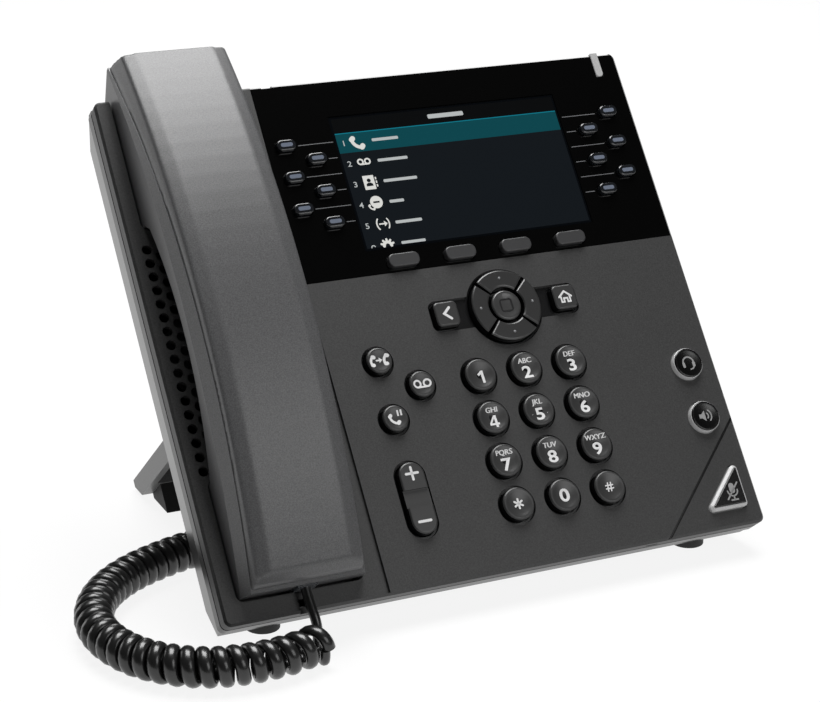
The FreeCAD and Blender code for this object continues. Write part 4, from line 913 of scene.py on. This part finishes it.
@dataclass(frozen=True)
class RoundCap:
    """Round key whose cap is dished inside a rolled rim; it stands for the CAD key of the same body.

    Attributes:
        node: CAD node and body name.
        cap_mm: radius of the cap.
        dish_mm: depth of the dish.
        rim_mm: width of the rolled rim.
        finish: finish of the top.
        slot: the record's material slot.
        flank: finish of the side; by default near-black painted shade.
        flank_mm: how far the side steps out from the cap.
        flange_mm: thickness of the retaining flange.
        seam_mm: depth of the seam between cap and side, at its start and its end.
        skirt_slope: shares of the side's step by which the seam runs out and down.
        dish_rings, rim_rings: divisions of the dish and of the rim's quarter turn.
    """
    node: str
    cap_mm: float
    dish_mm: float = 0.8
    rim_mm: float = 0.75
    finish: MouldedPlastic = KEY_ABS
    slot: str = "key_plastic"
    flank: MouldedPlastic = WELL_SHADE_BLACK
    flank_mm: float = 0.0
    flange_mm: float = 1.0
    seam_mm: Point2 = (0.02, 0.03)
    skirt_slope: Point2 = (0.2, 0.6)
    dish_rings: int = 7
    rim_rings: int = 5

    @property
    def dish(self) -> tuple[Vector, float, float]:
        """Centre, radius and depth of the dish."""
        return FACE.centre(self.node), self.cap_mm - self.rim_mm, self.dish_mm

    def build(self) -> None:
        """Turn the cap and its retaining flange."""
        low, high = FACE.box(self.node)
        centre, inner, depth = self.dish
        top, shoulder, foot = high.z, high.z - self.rim_mm, low.z + self.flange_mm
        outer = self.cap_mm + self.flank_mm
        flange = max((high.x - low.x) / 2, outer)
        shares = [n / self.dish_rings for n in range(self.dish_rings + 1)]
        turns = [math.radians(90 / self.rim_rings * n) for n in range(1, self.rim_rings + 1)]
        profile = [(inner * share, top - depth * (1 - share ** 2)) for share in shares]
        profile += [(inner + self.rim_mm * math.sin(turn), top - self.rim_mm * (1 - math.cos(turn)))
                    for turn in turns]
        (first, last), (out, down) = self.seam_mm, self.skirt_slope
        profile += [(self.cap_mm + out * self.flank_mm, shoulder - first),
                    (outer, shoulder - last - down * self.flank_mm),
                    (outer, foot), (flange, foot), (flange, low.z), (0.0, low.z)]
        cap = lathe(f"{self.node}_dished_cap", centre, profile, self.finish.build())
        cap.data.materials.append(self.flank.build())
        back = FACE.matrix.inverted()
        # Faces below the shoulder take the flank finish: near-black painted shade on the plain keys, the
        # glowing skirt on the lit ones.
        for polygon in cap.data.polygons:
            polygon.material_index = int((back @ polygon.center).z < shoulder - first / 4)
        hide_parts(self.node)
        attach(cap, self.node)

    def legend(self, lift_mm: float) -> Artwork:
        """Start the cap's artwork, lifted off its dish."""
        centre = self.dish[0]
        return Artwork(centre.z + lift_mm, centre)


@dataclass(frozen=True)
class DialPad:
    """Twelve dished keys with their digits and letters.

    Attributes:
        cap_mm: radius of a cap.
        ink_mm: level of the ink above the dish.
        digit_mm, zero_mm: middle, height and boldness of a digit, and of the zero, which has no letters.
        digit_wide: factor on the width of both.
        letters_mm: middle and height of the letters.
        letters_wide: factor on their width.
        bold_mm: sideways shift of the letters' two strikes, which makes them bold.
        pips_mm: distance from the middle, level and half the side of the two pips on the middle key.
    """
    cap_mm: float = 6.2
    ink_mm: float = 0.07
    digit_mm: Point3 = (-1.65, 4.8, 0.15)
    zero_mm: Point3 = (0, 4.9, 0.17)
    digit_wide: float = 1.22
    letters_mm: Point2 = (2.85, 2.0)
    letters_wide: float = 1.05
    bold_mm: float = 0.08
    pips_mm: Point3 = (3.1, -1.65, 0.1)
    LETTERS = {"1": "", "2": "ABC", "3": "DEF", "4": "GHI", "5": "JKL", "6": "MNO", "7": "PQRS", "8": "TUV",
               "9": "WXYZ", "star": "", "0": "", "hash": ""}
    OUTLINES = {
        "1": (((0.15, -3.3), (1.15, -3.3), (1.15, 1.6), (0.3, 1.6), (-1.3, 0.35), (-0.75, -0.35),
               (0.15, 0.3)),),
        "4": (((0.2, -4.05), (1.15, -4.05), (1.15, 0.75), (0.2, 0.75)),
              ((0.2, 0.75), (-2.0, -2.3), (-1.1, -2.3), (0.2, -0.45)),
              ((-2.0, -2.3), (-2.0, -3.1), (1.9, -3.1), (1.9, -2.3)))}

    def digit(self, art: Artwork, key: str) -> None:
        """Draw a key's digit or sign.

        Args:
            art: the key's artwork.
            key: name of the key.
        """
        if key == "star":
            for turn in (0, 60, 120):
                art.at(0, 0, 0.8, turn).stroke(((0, -2.2), (0, 2.2)), 0.95)
        elif key == "hash":
            for shift in (-0.62, 0.62):
                art.stroke(((shift - 0.22, -1.6), (shift + 0.22, 1.6)), 0.5)
                art.stroke(((-1.5, shift), (1.5, shift)), 0.5)
        elif key in self.OUTLINES:
            for outline in self.OUTLINES[key]:
                art.polygon(outline)
        else:
            up, height, bold = self.zero_mm if key == "0" else self.digit_mm
            art.text(key, 0, up, height, bold, self.digit_wide)

    def build(self) -> None:
        """Make the caps and their legends."""
        for key, letters in self.LETTERS.items():
            cap = RoundCap(f"dial_key_{key}", self.cap_mm)
            cap.build()
            art = cap.legend(self.ink_mm)
            self.digit(art, key)
            if letters:
                for shift in (-self.bold_mm, self.bold_mm):
                    art.text(letters, shift, *self.letters_mm, 0.0, self.letters_wide)
            if key == "5":
                out, level, half = self.pips_mm
                for side in (-out, out):
                    art.bar(side - half, side + half, level - half, level + half, half / 2)
            art.place(f"dial_legend_{key}", LEGEND_INK, cap.node, "key_plastic", cap.dish)


@dataclass(frozen=True)
class FunctionKeys:
    """Transfer, messages, hold, volume, headset, speaker, mute, back and home keys.

    Attributes:
        plain, lit: cap radius, dish depth and rim width of the plain round keys and of the lit ones.
        skirt_mm: how far a lit key's skirt steps out from its cap.
        ink_mm: level of the ink above a dish, and above a flat key.
    """
    plain: Point3 = (5.0, 0.5, 0.75)
    lit: Point3 = (5.9, 0.4, 0.5)
    skirt_mm: float = 0.2
    ink_mm: Point2 = (0.07, 0.06)
    PICTOGRAMS = {
        # Two receivers with an arrow from one to the other.
        "transfer_key": (
            ("at", -2.75, 0, 0.8, -14), ("receiver", 2.2, 1.25), ("at", 2.55, 0, 0.8, -14),
            ("receiver", 2.2, 1.25), ("at", 0, 0), ("stroke", ((-1.2, 0.1), (0.2, 0.1)), 0.6),
            ("polygon", ((-0.1, 1.15), (-0.1, -0.95), (1.15, 0.1)))),
        # Two loops of tape on a common line.
        "messages_key": (
            ("arc", -1.95, 0.1, 1.32, 0, 360, 0.72, 24), ("arc", 1.95, 0.1, 1.32, 0, 360, 0.72, 24),
            ("stroke", ((-1.95, -1.22), (1.95, -1.22)), 0.72)),
        # A receiver with two bars.
        "hold_key": (
            ("at", -0.75, -0.55, 1.0, 45), ("receiver", 2.2, 0.95), ("at", 0, 0),
            ("bar", 0.86, 1.54, 0.7, 2.9, 0.12), ("bar", 2.11, 2.79, 0.7, 2.9, 0.12)),
        # Plus and minus.
        "volume_rocker": (
            ("stroke", ((-2.3, 9.2), (2.3, 9.2)), 0.95), ("stroke", ((0, 6.9), (0, 11.5)), 0.95),
            ("stroke", ((-2.3, -8.9), (2.3, -8.9)), 1.0)),
        # A chevron.
        "back_key": (("stroke", ((1.25, 2.2), (-1.25, 0), (1.25, -2.2)), 1.0),),
        # A house in outline.
        "home_key": (
            ("stroke", ((-2.6, -0.1), (0, 2.1), (2.6, -0.1)), 0.75),
            ("stroke", ((-1.85, 0.2), (-1.85, -2.2), (-0.75, -2.2), (-0.75, -0.7), (0.75, -0.7),
                        (0.75, -2.2), (1.85, -2.2), (1.85, 0.2)), 0.65)),
        # A headband with ear pads and a microphone.
        "headset_key": (
            ("arc", 0, 0.1, 2.25, -12, 192, 0.6, 18), ("stroke", ((-2.15, -0.15), (-2.15, -1.25)), 1.15),
            ("stroke", ((2.15, -0.15), (2.15, -1.25)), 1.15), ("arc", 0.2, -0.6, 2.1, -88, -30, 0.5, 8)),
        # A loudspeaker with two waves.
        "speaker_key": (
            ("polygon", ((-2.8, 0.8), (-1.7, 0.8), (-0.2, 2.1), (-0.2, -2.1), (-1.7, -0.8), (-2.8, -0.8))),
            ("arc", -0.1, 0, 1.35, -48, 48, 0.5, 8), ("arc", -0.1, 0, 2.65, -52, 52, 0.5, 10)),
        # A microphone, crossed out.
        "mute_key": (
            ("at", 2.4, -2.3), ("stroke", ((0, 0.6), (0, 2.4)), 2.3),
            ("arc", 0, 0.6, 2.15, 180, 360, 0.55, 14), ("stroke", ((0, -1.5), (0, -3.0)), 0.6),
            ("stroke", ((-1.4, -3.1), (1.4, -3.1)), 0.6), ("stroke", ((-2.9, -2.6), (2.9, 3.4)), 0.6))}

    def build(self) -> None:
        """Make the dished caps and every pictogram."""
        plain = [RoundCap(node, *self.plain) for node in ("transfer_key", "messages_key", "hold_key")]
        # The lit keys' sides take the skirt, whose glow is painted light.
        lit = [RoundCap(node, *self.lit, LIT_CAP_ABS, "lit_key", SKIRT_PC, self.skirt_mm)
               for node in ("headset_key", "speaker_key")]
        on_dish, on_flat = self.ink_mm
        for cap in plain + lit:
            cap.build()
            art = cap.legend(on_dish)
            art.draw(self.PICTOGRAMS[cap.node])
            ink = GREY_INK if cap in lit else LEGEND_INK
            art.place(f"{cap.node}_legend", ink, cap.node, cap.slot, cap.dish)
        for node in ("volume_rocker", "back_key", "home_key", "mute_key"):
            centre = FACE.centre(node)
            art = Artwork(centre.z + on_flat, centre)
            art.draw(self.PICTOGRAMS[node])
            ink, slot = (GREY_INK, "lit_key") if node == "mute_key" else (LEGEND_INK, "key_plastic")
            art.place(f"{node}_legend", ink, node, slot)


@dataclass(frozen=True)
class NavigationCluster:
    """Select key in its ring, with the ring's four raised dots.

    Attributes:
        select: cap radius, dish depth and rim width of the select key.
        mark_mm: middle of the mark's rounded corners, their radius and the mark's width.
        ink_mm: level of the mark above the dish.
        dots_mm: distance of the dots from the centre.
        dot_mm: radius of a dot, its height, and how deep it is rooted in the ring.
        crown_mm: how far below the ring's surface the dot's crown starts.
    """
    select: Point3 = (6.0, 0.45, 0.8)
    mark_mm: Point3 = (1.5, 0.8, 0.6)
    ink_mm: float = 0.10
    dots_mm: float = 10.9
    dot_mm: Point3 = (0.55, 0.32, 0.4)
    crown_mm: float = 0.05

    def build(self) -> None:
        """Make the select key, its outline mark and the dots."""
        cap = RoundCap("select_key", *self.select, SELECT_ABS, "select_key")
        cap.build()
        reach, corner, width = self.mark_mm
        mark = cap.legend(self.ink_mm)
        turns = ((quarter, math.radians(90 * quarter + 30 * n)) for quarter in range(4) for n in range(4))
        mark.stroke([((reach if quarter in (0, 3) else -reach) + corner * math.cos(turn),
                      (reach if quarter < 2 else -reach) + corner * math.sin(turn))
                     for quarter, turn in turns], width, closed=True)
        mark.place("select_key_mark", OUTLINE_INK, "select_key", "select_key", cap.dish)
        for way, turn in (("right", 0), ("up", 90), ("left", 180), ("down", 270)):
            self.dot(way, cap.dish[0], math.radians(turn))

    def dot(self, way: str, centre: Vector, turn: float) -> None:
        """Make a raised dot with a crowned top.

        Args:
            way: the ring segment's direction.
            centre: middle of the ring.
            turn: the dot's place round it, in radians.
        """
        top = FACE.centre(f"nav_{way}_key").z
        place = centre + Vector((math.cos(turn), math.sin(turn), 0)) * self.dots_mm
        radius, height, root = self.dot_mm
        start, rise = top - self.crown_mm, height + self.crown_mm
        crown = [(radius * math.sin(math.radians(t)), start + rise * math.cos(math.radians(t)))
                 for t in (30, 60, 90)]
        profile = [(0.0, top + height), *crown, (radius, top - root), (0.0, top - root)]
        # The dot's light grey is a painted highlight.
        dot = lathe(f"nav_{way}_dot", place, profile, DOT_HIGHLIGHT_GREY.build(), 16)
        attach(dot, f"nav_{way}_key")


@dataclass(frozen=True)
class LineKeys:
    """Lens windows of the line keys and the printed lines that lead to them.

    Attributes:
        paint_mm: left and upper edges of the black paint beside the panel.
        paint_over_mm: how far the paint runs under the panel's edge.
        lens_mm: half width, half height and corner of a lens window.
        leaders_mm: where the leader lines start, left and right of the picture.
        leader_gap_mm: distance from a leader's end to its key's middle.
        leader_mm: half the width of a leader, and the least length that is drawn.
        levels_mm: levels of the paint and the leaders above the face, and of a lens above its key.
        thick_mm: thickness of the paint and of a lens.
    """
    paint_mm: Point2 = (-47.6, 199.3)
    paint_over_mm: float = 0.2
    lens_mm: Point3 = (2.4, 0.78, 0.7)
    leaders_mm: Point2 = (-21.1, 77.6)
    leader_gap_mm: float = 5.2
    leader_mm: Point2 = (0.13, 1.0)
    levels_mm: Point3 = (0.03, 0.05, 0.10)
    thick_mm: Point2 = (0.06, 0.25)

    def build(self) -> None:
        """Make the lenses, the leader lines and the black paint beside the panel."""
        low, high = FACE.box("display_panel")
        on_face, over_paint, on_key = self.levels_mm
        paint_thick, lens_thick = self.thick_mm
        paint = Artwork(on_face)
        paint.bar(self.paint_mm[0], low.x + self.paint_over_mm, low.y, min(high.y, self.paint_mm[1]))
        paint.place("panel_side_paint", PANEL_ABS, "base", "panel_plastic", thick=paint_thick)
        (wide, tall, corner), (half, least) = self.lens_mm, self.leader_mm
        leaders = Artwork(over_paint)
        for node in sorted(name for name in frame["nodes"] if name.startswith("line_key_")):
            centre = FACE.centre(node)
            lens = Artwork(centre.z + on_key, centre)
            lens.bar(-wide, wide, -tall, tall, corner)
            # The lens's glow is painted light.
            lens.place(f"{node}_lens", LINE_LENS_PC, node, "line_key", thick=lens_thick)
            on_left = centre.x < 0
            start = self.leaders_mm[0 if on_left else 1]
            end = centre.x + (self.leader_gap_mm if on_left else -self.leader_gap_mm)
            if abs(end - start) > least and (end < start) == on_left:
                leaders.at(0, centre.y).bar(min(start, end), max(start, end), -half, half)
        leaders.place("leader_lines", LEADER_INK, "base", "panel_plastic")


@dataclass(frozen=True)
class ScreenPicture:
    """A generic menu in the screen: six numbered rows with icons and plain bars for their words.

    Attributes:
        left, right, low, high: edges of the picture in the face frame.
        title_low: lower edge of the title bar.
        title_word: left, right, lower and upper edges of the bar that stands for the title.
        row_mm: distance between rows.
        first_mm: middle of the top row.
        words_mm, icons_mm: where the words start and where the icons' middle is, from the left edge.
        bars_mm: length of each row's word bar, from the top.
        bar_mm: half the height of a word bar and radius of its corners.
        film_mm: thickness of a layer.
    """
    left: float = -19.5
    right: float = 75.5
    low: float = 130.1
    high: float = 183.9
    title_low: float = 177.9
    title_word: tuple[float, ...] = (20.5, 35.8, 180.05, 181.85)
    row_mm: float = 8.62
    first_mm: float = 173.75
    words_mm: float = 14.3
    icons_mm: float = 8.6
    bars_mm: tuple[float, ...] = (11.0, 12.5, 14.0, 6.0, 11.0, 10.0)
    bar_mm: Point2 = (0.6, 0.4)
    film_mm: float = 0.05
    LAYERS = {"backlight": (0.03, ScreenColour.BACKGROUND), "title_bar": (0.05, ScreenColour.TITLE),
              "row_bar": (0.05, ScreenColour.BAR), "row_bar_edge": (0.07, ScreenColour.BAR_EDGE),
              "word_bars": (0.09, ScreenColour.WORD), "row_icons": (0.09, ScreenColour.ICON),
              "icon_cutouts": (0.12, ScreenColour.BACKGROUND), "row_numbers": (0.09, ScreenColour.WORD)}

    def build(self) -> None:
        """Draw every layer of the picture, each at its level above the glass."""
        top = FACE.centre("lcd_module").z
        layers = {name: Artwork(top + level) for name, (level, _) in self.LAYERS.items()}
        for name, low, high in (("backlight", self.low, self.high), ("title_bar", self.title_low, self.high),
                                ("row_bar", 169.5, 177.75), ("row_bar_edge", 177.45, 177.8)):
            layers[name].bar(self.left, self.right, low, high)
        self.rows(layers["word_bars"], layers["row_numbers"])
        self.icons(layers["row_icons"], layers["icon_cutouts"])
        for name, (_, colour) in self.LAYERS.items():
            layers[name].place(f"screen_{name}", colour, "base", "lcd_glass", thick=self.film_mm)

    def rows(self, words: Artwork, numbers: Artwork) -> None:
        """Draw the title's bar, and each row's number and bar; the picture's edge cuts off the last row.

        Args:
            words: layer of the bars.
            numbers: layer of the numbers.
        """
        words.bar(*self.title_word, 0.5)
        start = self.left + self.words_mm
        half, corner = self.bar_mm
        for row, long in enumerate(self.bars_mm):
            y = self.first_mm - row * self.row_mm
            if row < len(self.bars_mm) - 1:
                words.bar(start, start + long, y - half, y + half, corner)
                numbers.text(str(row + 1), self.left + 2.6, y - 0.2, 2.3, 0.02, 1.15)
            else:
                words.bar(start, start + long, self.low + 0.15, y + 0.7, 0.3)
                numbers.arc(self.left + 2.7, self.low + 0.2, 0.75, 20, 180, 0.4, 8)

    def icons(self, art: Artwork, cut: Artwork) -> None:
        """Draw the row icons, from the top row down: receiver, tape, contacts, call, transfer and gear.

        Args:
            art: layer of the icons.
            cut: layer of the shapes cut out of them.
        """
        x = self.left + self.icons_mm
        call, tape, contacts, divert, transfer = (self.first_mm - row * self.row_mm for row in range(5))
        art.at(x - 0.7, call - 0.7, 1.22, 45).receiver(2.2, 1.15)
        art.at(x, tape)
        for side in (-1.45, 1.45):
            art.arc(side, 0.15, 1.05, 0, 360, 0.62, 20)
        art.stroke(((-1.45, -0.9), (1.45, -0.9)), 0.62)
        art.at(x, contacts).bar(-2.5, 2.0, -2.9, 2.9, 0.2)
        cut.at(x, contacts).disc(-0.25, 0.85, 0.8)
        cut.polygon([(-1.65, -1.5), (1.15, -1.5), (1.05, -0.6), (0.35, -0.1), (-0.85, -0.1), (-1.55, -0.6)])
        for tab in (1.5, 0.0, -1.5):
            art.bar(2.45, 3.0, tab - 0.5, tab + 0.5, 0.1)
        art.at(x, divert).disc(0.35, 0.4, 2.55, 28)
        cut.at(x, divert).bar(-0.95, 1.65, 0.05, 0.75)
        art.at(x - 2.1, divert - 1.6, 0.55, 45).receiver(2.2, 1.1)
        art.at(x, transfer).arc(1.4, 0, 3.4, 142, 218, 0.55, 10)
        art.stroke(((-0.9, 0), (1.5, 0)), 0.55)
        art.polygon(((1.1, 1.15), (1.1, -1.15), (2.4, 0)))
        art.arc(-0.6, 0, 3.7, -32, 32, 0.5, 8)
        art.at(x, self.low + 0.25).arc(0, 0, 1.5, 0, 180, 1.2, 14)
        for tooth in (20, 55, 90, 125, 160):
            art.stroke([(reach * math.cos(math.radians(tooth)), reach * math.sin(math.radians(tooth)))
                        for reach in (2.0, 2.6)], 0.85)


# ---------------------------------------------------------------- CAD nodes

class Inner(Enum):
    """The faces below a node's level that take its inner finish."""
    ALL = "every face"
    WALLS = "upright walls"
    WELLS = "key wells and the panel's recess"


@dataclass(frozen=True)
class NodeFinish:
    """Finish of the CAD nodes whose names start with one of the prefixes.

    Attributes:
        prefixes: starts of the node names.
        finish: the finish of the outside.
        bevel_mm: width of the softened edges, 0 for none.
        inner: finish of the surfaces below a level, if they differ.
        level: that level above the face, in millimetres.
        faces: which of the faces below it.
    """
    prefixes: tuple[str, ...]
    finish: MouldedPlastic
    bevel_mm: float = 0.0
    inner: Optional[MouldedPlastic] = None
    level: float = 0.0
    faces: Inner = Inner.ALL
    UPRIGHT = 0.35
    WELL_BOX = ((-46.5, 107.5), (1.5, 199.0))
    WELL_FLOOR = -6
    SHARP_DEG = 22
    WORN_DEG = 20

    def is_inner(self, place: Vector, normal: Vector) -> bool:
        """Tell whether a face takes the inner finish.

        Args:
            place: its middle, in face millimetres.
            normal: its normal in the face frame.

        Returns:
            True if it does.
        """
        if self.faces is Inner.WALLS:
            chosen = normal.z < self.UPRIGHT
        elif self.faces is Inner.WELLS:
            (left, right), (low, high) = self.WELL_BOX
            chosen = left < place.x < right and low < place.y < high and place.z > self.WELL_FLOOR
        else:
            chosen = True
        return place.z < self.level and chosen

    def dress(self, node: bpy.types.Object) -> None:
        """Give a node its materials, smooth shading and softened edges.

        Args:
            node: the CAD node's object.
        """
        mesh = node.data
        mesh.materials.clear()
        mesh.materials.append(self.finish.build())
        if self.inner:
            mesh.materials.append(self.inner.build())
            back = FACE.matrix.inverted()
            turn = back.to_3x3().normalized()
            for polygon in mesh.polygons:
                polygon.material_index = int(self.is_inner(back @ polygon.center, turn @ polygon.normal))
        mesh.polygons.foreach_set("use_smooth", [True] * len(mesh.polygons))
        mesh.set_sharp_from_angle(angle=math.radians(self.SHARP_DEG))
        if self.bevel_mm:
            bevel = node.modifiers.new("worn_edge", "BEVEL")
            bevel.width, bevel.segments = self.bevel_mm * MM, 2
            bevel.limit_method, bevel.angle_limit = "ANGLE", math.radians(self.WORN_DEG)


NODE_FINISHES = (
    NodeFinish(("handset_outer", "handset_inner"), HANDSET_ABS, 0.15),
    # The key wells and the panel's recess are coloured near black: painted shade.
    NodeFinish(("front_housing",), HOUSING_ABS, 0.0, WELL_SHADE_BLACK, -0.06, Inner.WELLS),
    NodeFinish(("rear_housing",), REAR_ABS),
    NodeFinish(("stand_feet", "front_feet"), FOOT_RUBBER, 0.4),
    NodeFinish(("stand",), STAND_ABS),
    NodeFinish(("display_panel",), PANEL_ABS),
    NodeFinish(("lcd_module",), SCREEN_GLASS),
    # The message light's glow is painted light.
    NodeFinish(("message_light",), LIGHT_GUIDE_PC, 0.25),
    NodeFinish(("main_board",), BOARD_MASK),
    NodeFinish(("loudspeaker",), SPEAKER_STEEL),
    NodeFinish(("cord_plug",), PLUG_PC, 0.3),
    NodeFinish(("line_key",), LINE_KEY_PC, 0.35),
    NodeFinish(("soft_key",), SOFT_KEY_ABS, 0.35),
    # The mute key's faces below its cap take the skirt, whose glow is painted light.
    NodeFinish(("mute_key",), LIT_CAP_ABS, 0.0, SKIRT_PC, 1.95),
    # The upright walls of the ring and of the other keys are coloured near black: painted shade.
    NodeFinish(("nav_",), RING_ABS, 0.35, WELL_SHADE_BLACK, 9.0, Inner.WALLS),
    NodeFinish(("",), KEY_ABS, 0.4, WELL_SHADE_BLACK, 9.0, Inner.WALLS),
)


def dress_nodes() -> None:
    """Give every CAD node its finish."""
    for name, node in sorted(frame["nodes"].items()):
        chosen = next(item for item in NODE_FINISHES if name.startswith(item.prefixes))
        chosen.dress(node)
        LOG.info("%s dressed in %s", name, chosen.finish.name)


# ---------------------------------------------------------------- studio

@dataclass(frozen=True)
class Studio:
    """White floor, soft lights and the camera.

    Attributes:
        lens_mm, sensor_mm: focal length and width of the sensor.
        far_m: distance beyond which the camera sees nothing.
        eye: camera position in the face frame, in millimetres.
        right, down, ahead: camera axes in the face frame.
        sheet_white: share of light that the floor sheet returns.
        sheet_glow: light that comes up through it.
        half_m, wall_m: half the width of the floor and the height of the walls at its edge.
        room_light: strength of the light from all round.
    """
    lens_mm: float = 99.79
    sensor_mm: float = 36.0
    far_m: float = 20.0
    eye: Point3 = (-355.24, -144.98, 728.22)
    right: Point3 = (0.90306896, -0.26506061, 0.3379487)
    down: Point3 = (-0.13651389, -0.92318941, -0.35928439)
    ahead: Point3 = (0.4072228, 0.27832389, -0.86988815)
    sheet_white: float = 0.10
    sheet_glow: float = 0.88
    half_m: float = 6.0
    wall_m: float = 5.0
    room_light: float = 0.02

    def camera(self) -> None:
        """Stand the camera at its measured place."""
        data = bpy.data.cameras.new("studio_camera")
        data.lens, data.sensor_width, data.clip_end = self.lens_mm, self.sensor_mm, self.far_m
        camera = bpy.data.objects.new("studio_camera", data)
        bpy.context.scene.collection.objects.link(camera)
        turn = FACE.matrix.to_3x3().normalized()
        axes = (turn @ Vector(self.right), -(turn @ Vector(self.down)), -(turn @ Vector(self.ahead)))
        basis = Matrix(axes).transposed().to_4x4()
        basis.translation = FACE.matrix @ Vector(self.eye)
        camera.matrix_world = basis
        bpy.context.scene.camera = camera

    def softbox(self, name: str, place: Point3, target: Point3, size: float, power: float) -> None:
        """Add a square area light aimed at a point.

        Args:
            name: light name.
            place: its centre, in metres.
            target: the point it faces.
            size: side of the square, in metres.
            power: watts.
        """
        data = bpy.data.lights.new(name, "AREA")
        data.shape, data.size, data.energy = "SQUARE", size, power
        light = bpy.data.objects.new(name, data)
        bpy.context.scene.collection.objects.link(light)
        light.location = place
        light.rotation_euler = (Vector(target) - Vector(place)).to_track_quat("-Z", "Y").to_euler()

    def floor(self) -> None:
        """Lay a white sheet that is lit from below, with far walls of it that only the camera sees."""
        material, _, _ = start_material("floor_white_lit_sheet", {
            "Base Color": (self.sheet_white,) * 3 + (1.0,), "Roughness": 0.9, "Specular IOR Level": 0.0,
            "Emission Color": (1.0, 1.0, 1.0, 1.0), "Emission Strength": self.sheet_glow})
        half = self.half_m
        corners = ((-half, -half), (half, -half), (half, half), (-half, half))
        floor = piece_from("floor", [(x, y, 0) for x, y in corners], ((0, 1, 2, 3),), material)
        walls = piece_from("far_walls", [(x, y, z) for z in (0, self.wall_m) for x, y in corners],
                           [(n, (n + 1) % 4, (n + 1) % 4 + 4, n + 4) for n in range(4)], material)
        for ray in ("diffuse", "glossy", "transmission", "volume_scatter", "shadow"):
            setattr(walls, f"visible_{ray}", False)

    def world(self) -> None:
        """Keep the room dark, so that the black plastics stay black."""
        world = bpy.data.worlds.new("studio_world")
        world.use_nodes = True
        background = world.node_tree.nodes["Background"]
        background.inputs["Color"].default_value = (1.0, 1.0, 1.0, 1.0)
        background.inputs["Strength"].default_value = self.room_light
        bpy.context.scene.world = world
        bpy.context.scene.view_settings.view_transform = "Standard"

    def build(self) -> None:
        """Set the camera, floor, world and lights."""
        self.camera()
        self.floor()
        self.world()
        self.softbox("overhead_softbox", (0.13, 0.30, 1.3), (0.0, 0.0, 0.1), 0.9, 28.0)
        self.softbox("front_softbox", (0.45, -1.15, 0.75), (0.0, 0.0, 0.08), 0.7, 4.5)
        self.softbox("left_rim_softbox", (-0.9, 1.2, 0.35), (-0.1, 0.0, 0.08), 0.6, 2.4)
        self.softbox("back_rim_softbox", (0.6, 1.25, 0.8), (0.0, 0.05, 0.15), 0.6, 5.0)


class SubAssembly(Protocol):
    """Anything that builds its own pieces."""

    def build(self) -> None:
        """Make the pieces."""


def build_and_report(part: SubAssembly) -> None:
    """Build a sub-assembly and log each piece that it made.

    Args:
        part: the sub-assembly.
    """
    known = set(bpy.data.objects.keys())
    part.build()
    for name in sorted(set(bpy.data.objects.keys()) - known):
        LOG.info("%s: %s", type(part).__name__, name)


def main() -> None:
    """Build the phone's looks piece by piece; the camera and the cords come first."""
    logging.basicConfig(level=logging.INFO, format="%(name)s: %(message)s")
    build_and_report(Studio())
    build_and_report(HandsetCord())
    dress_nodes()
    for part in (HandsetSkin(), DialPad(), FunctionKeys(), NavigationCluster(), LineKeys(), ScreenPicture()):
        build_and_report(part)


if __name__ == "__main__":
    main()
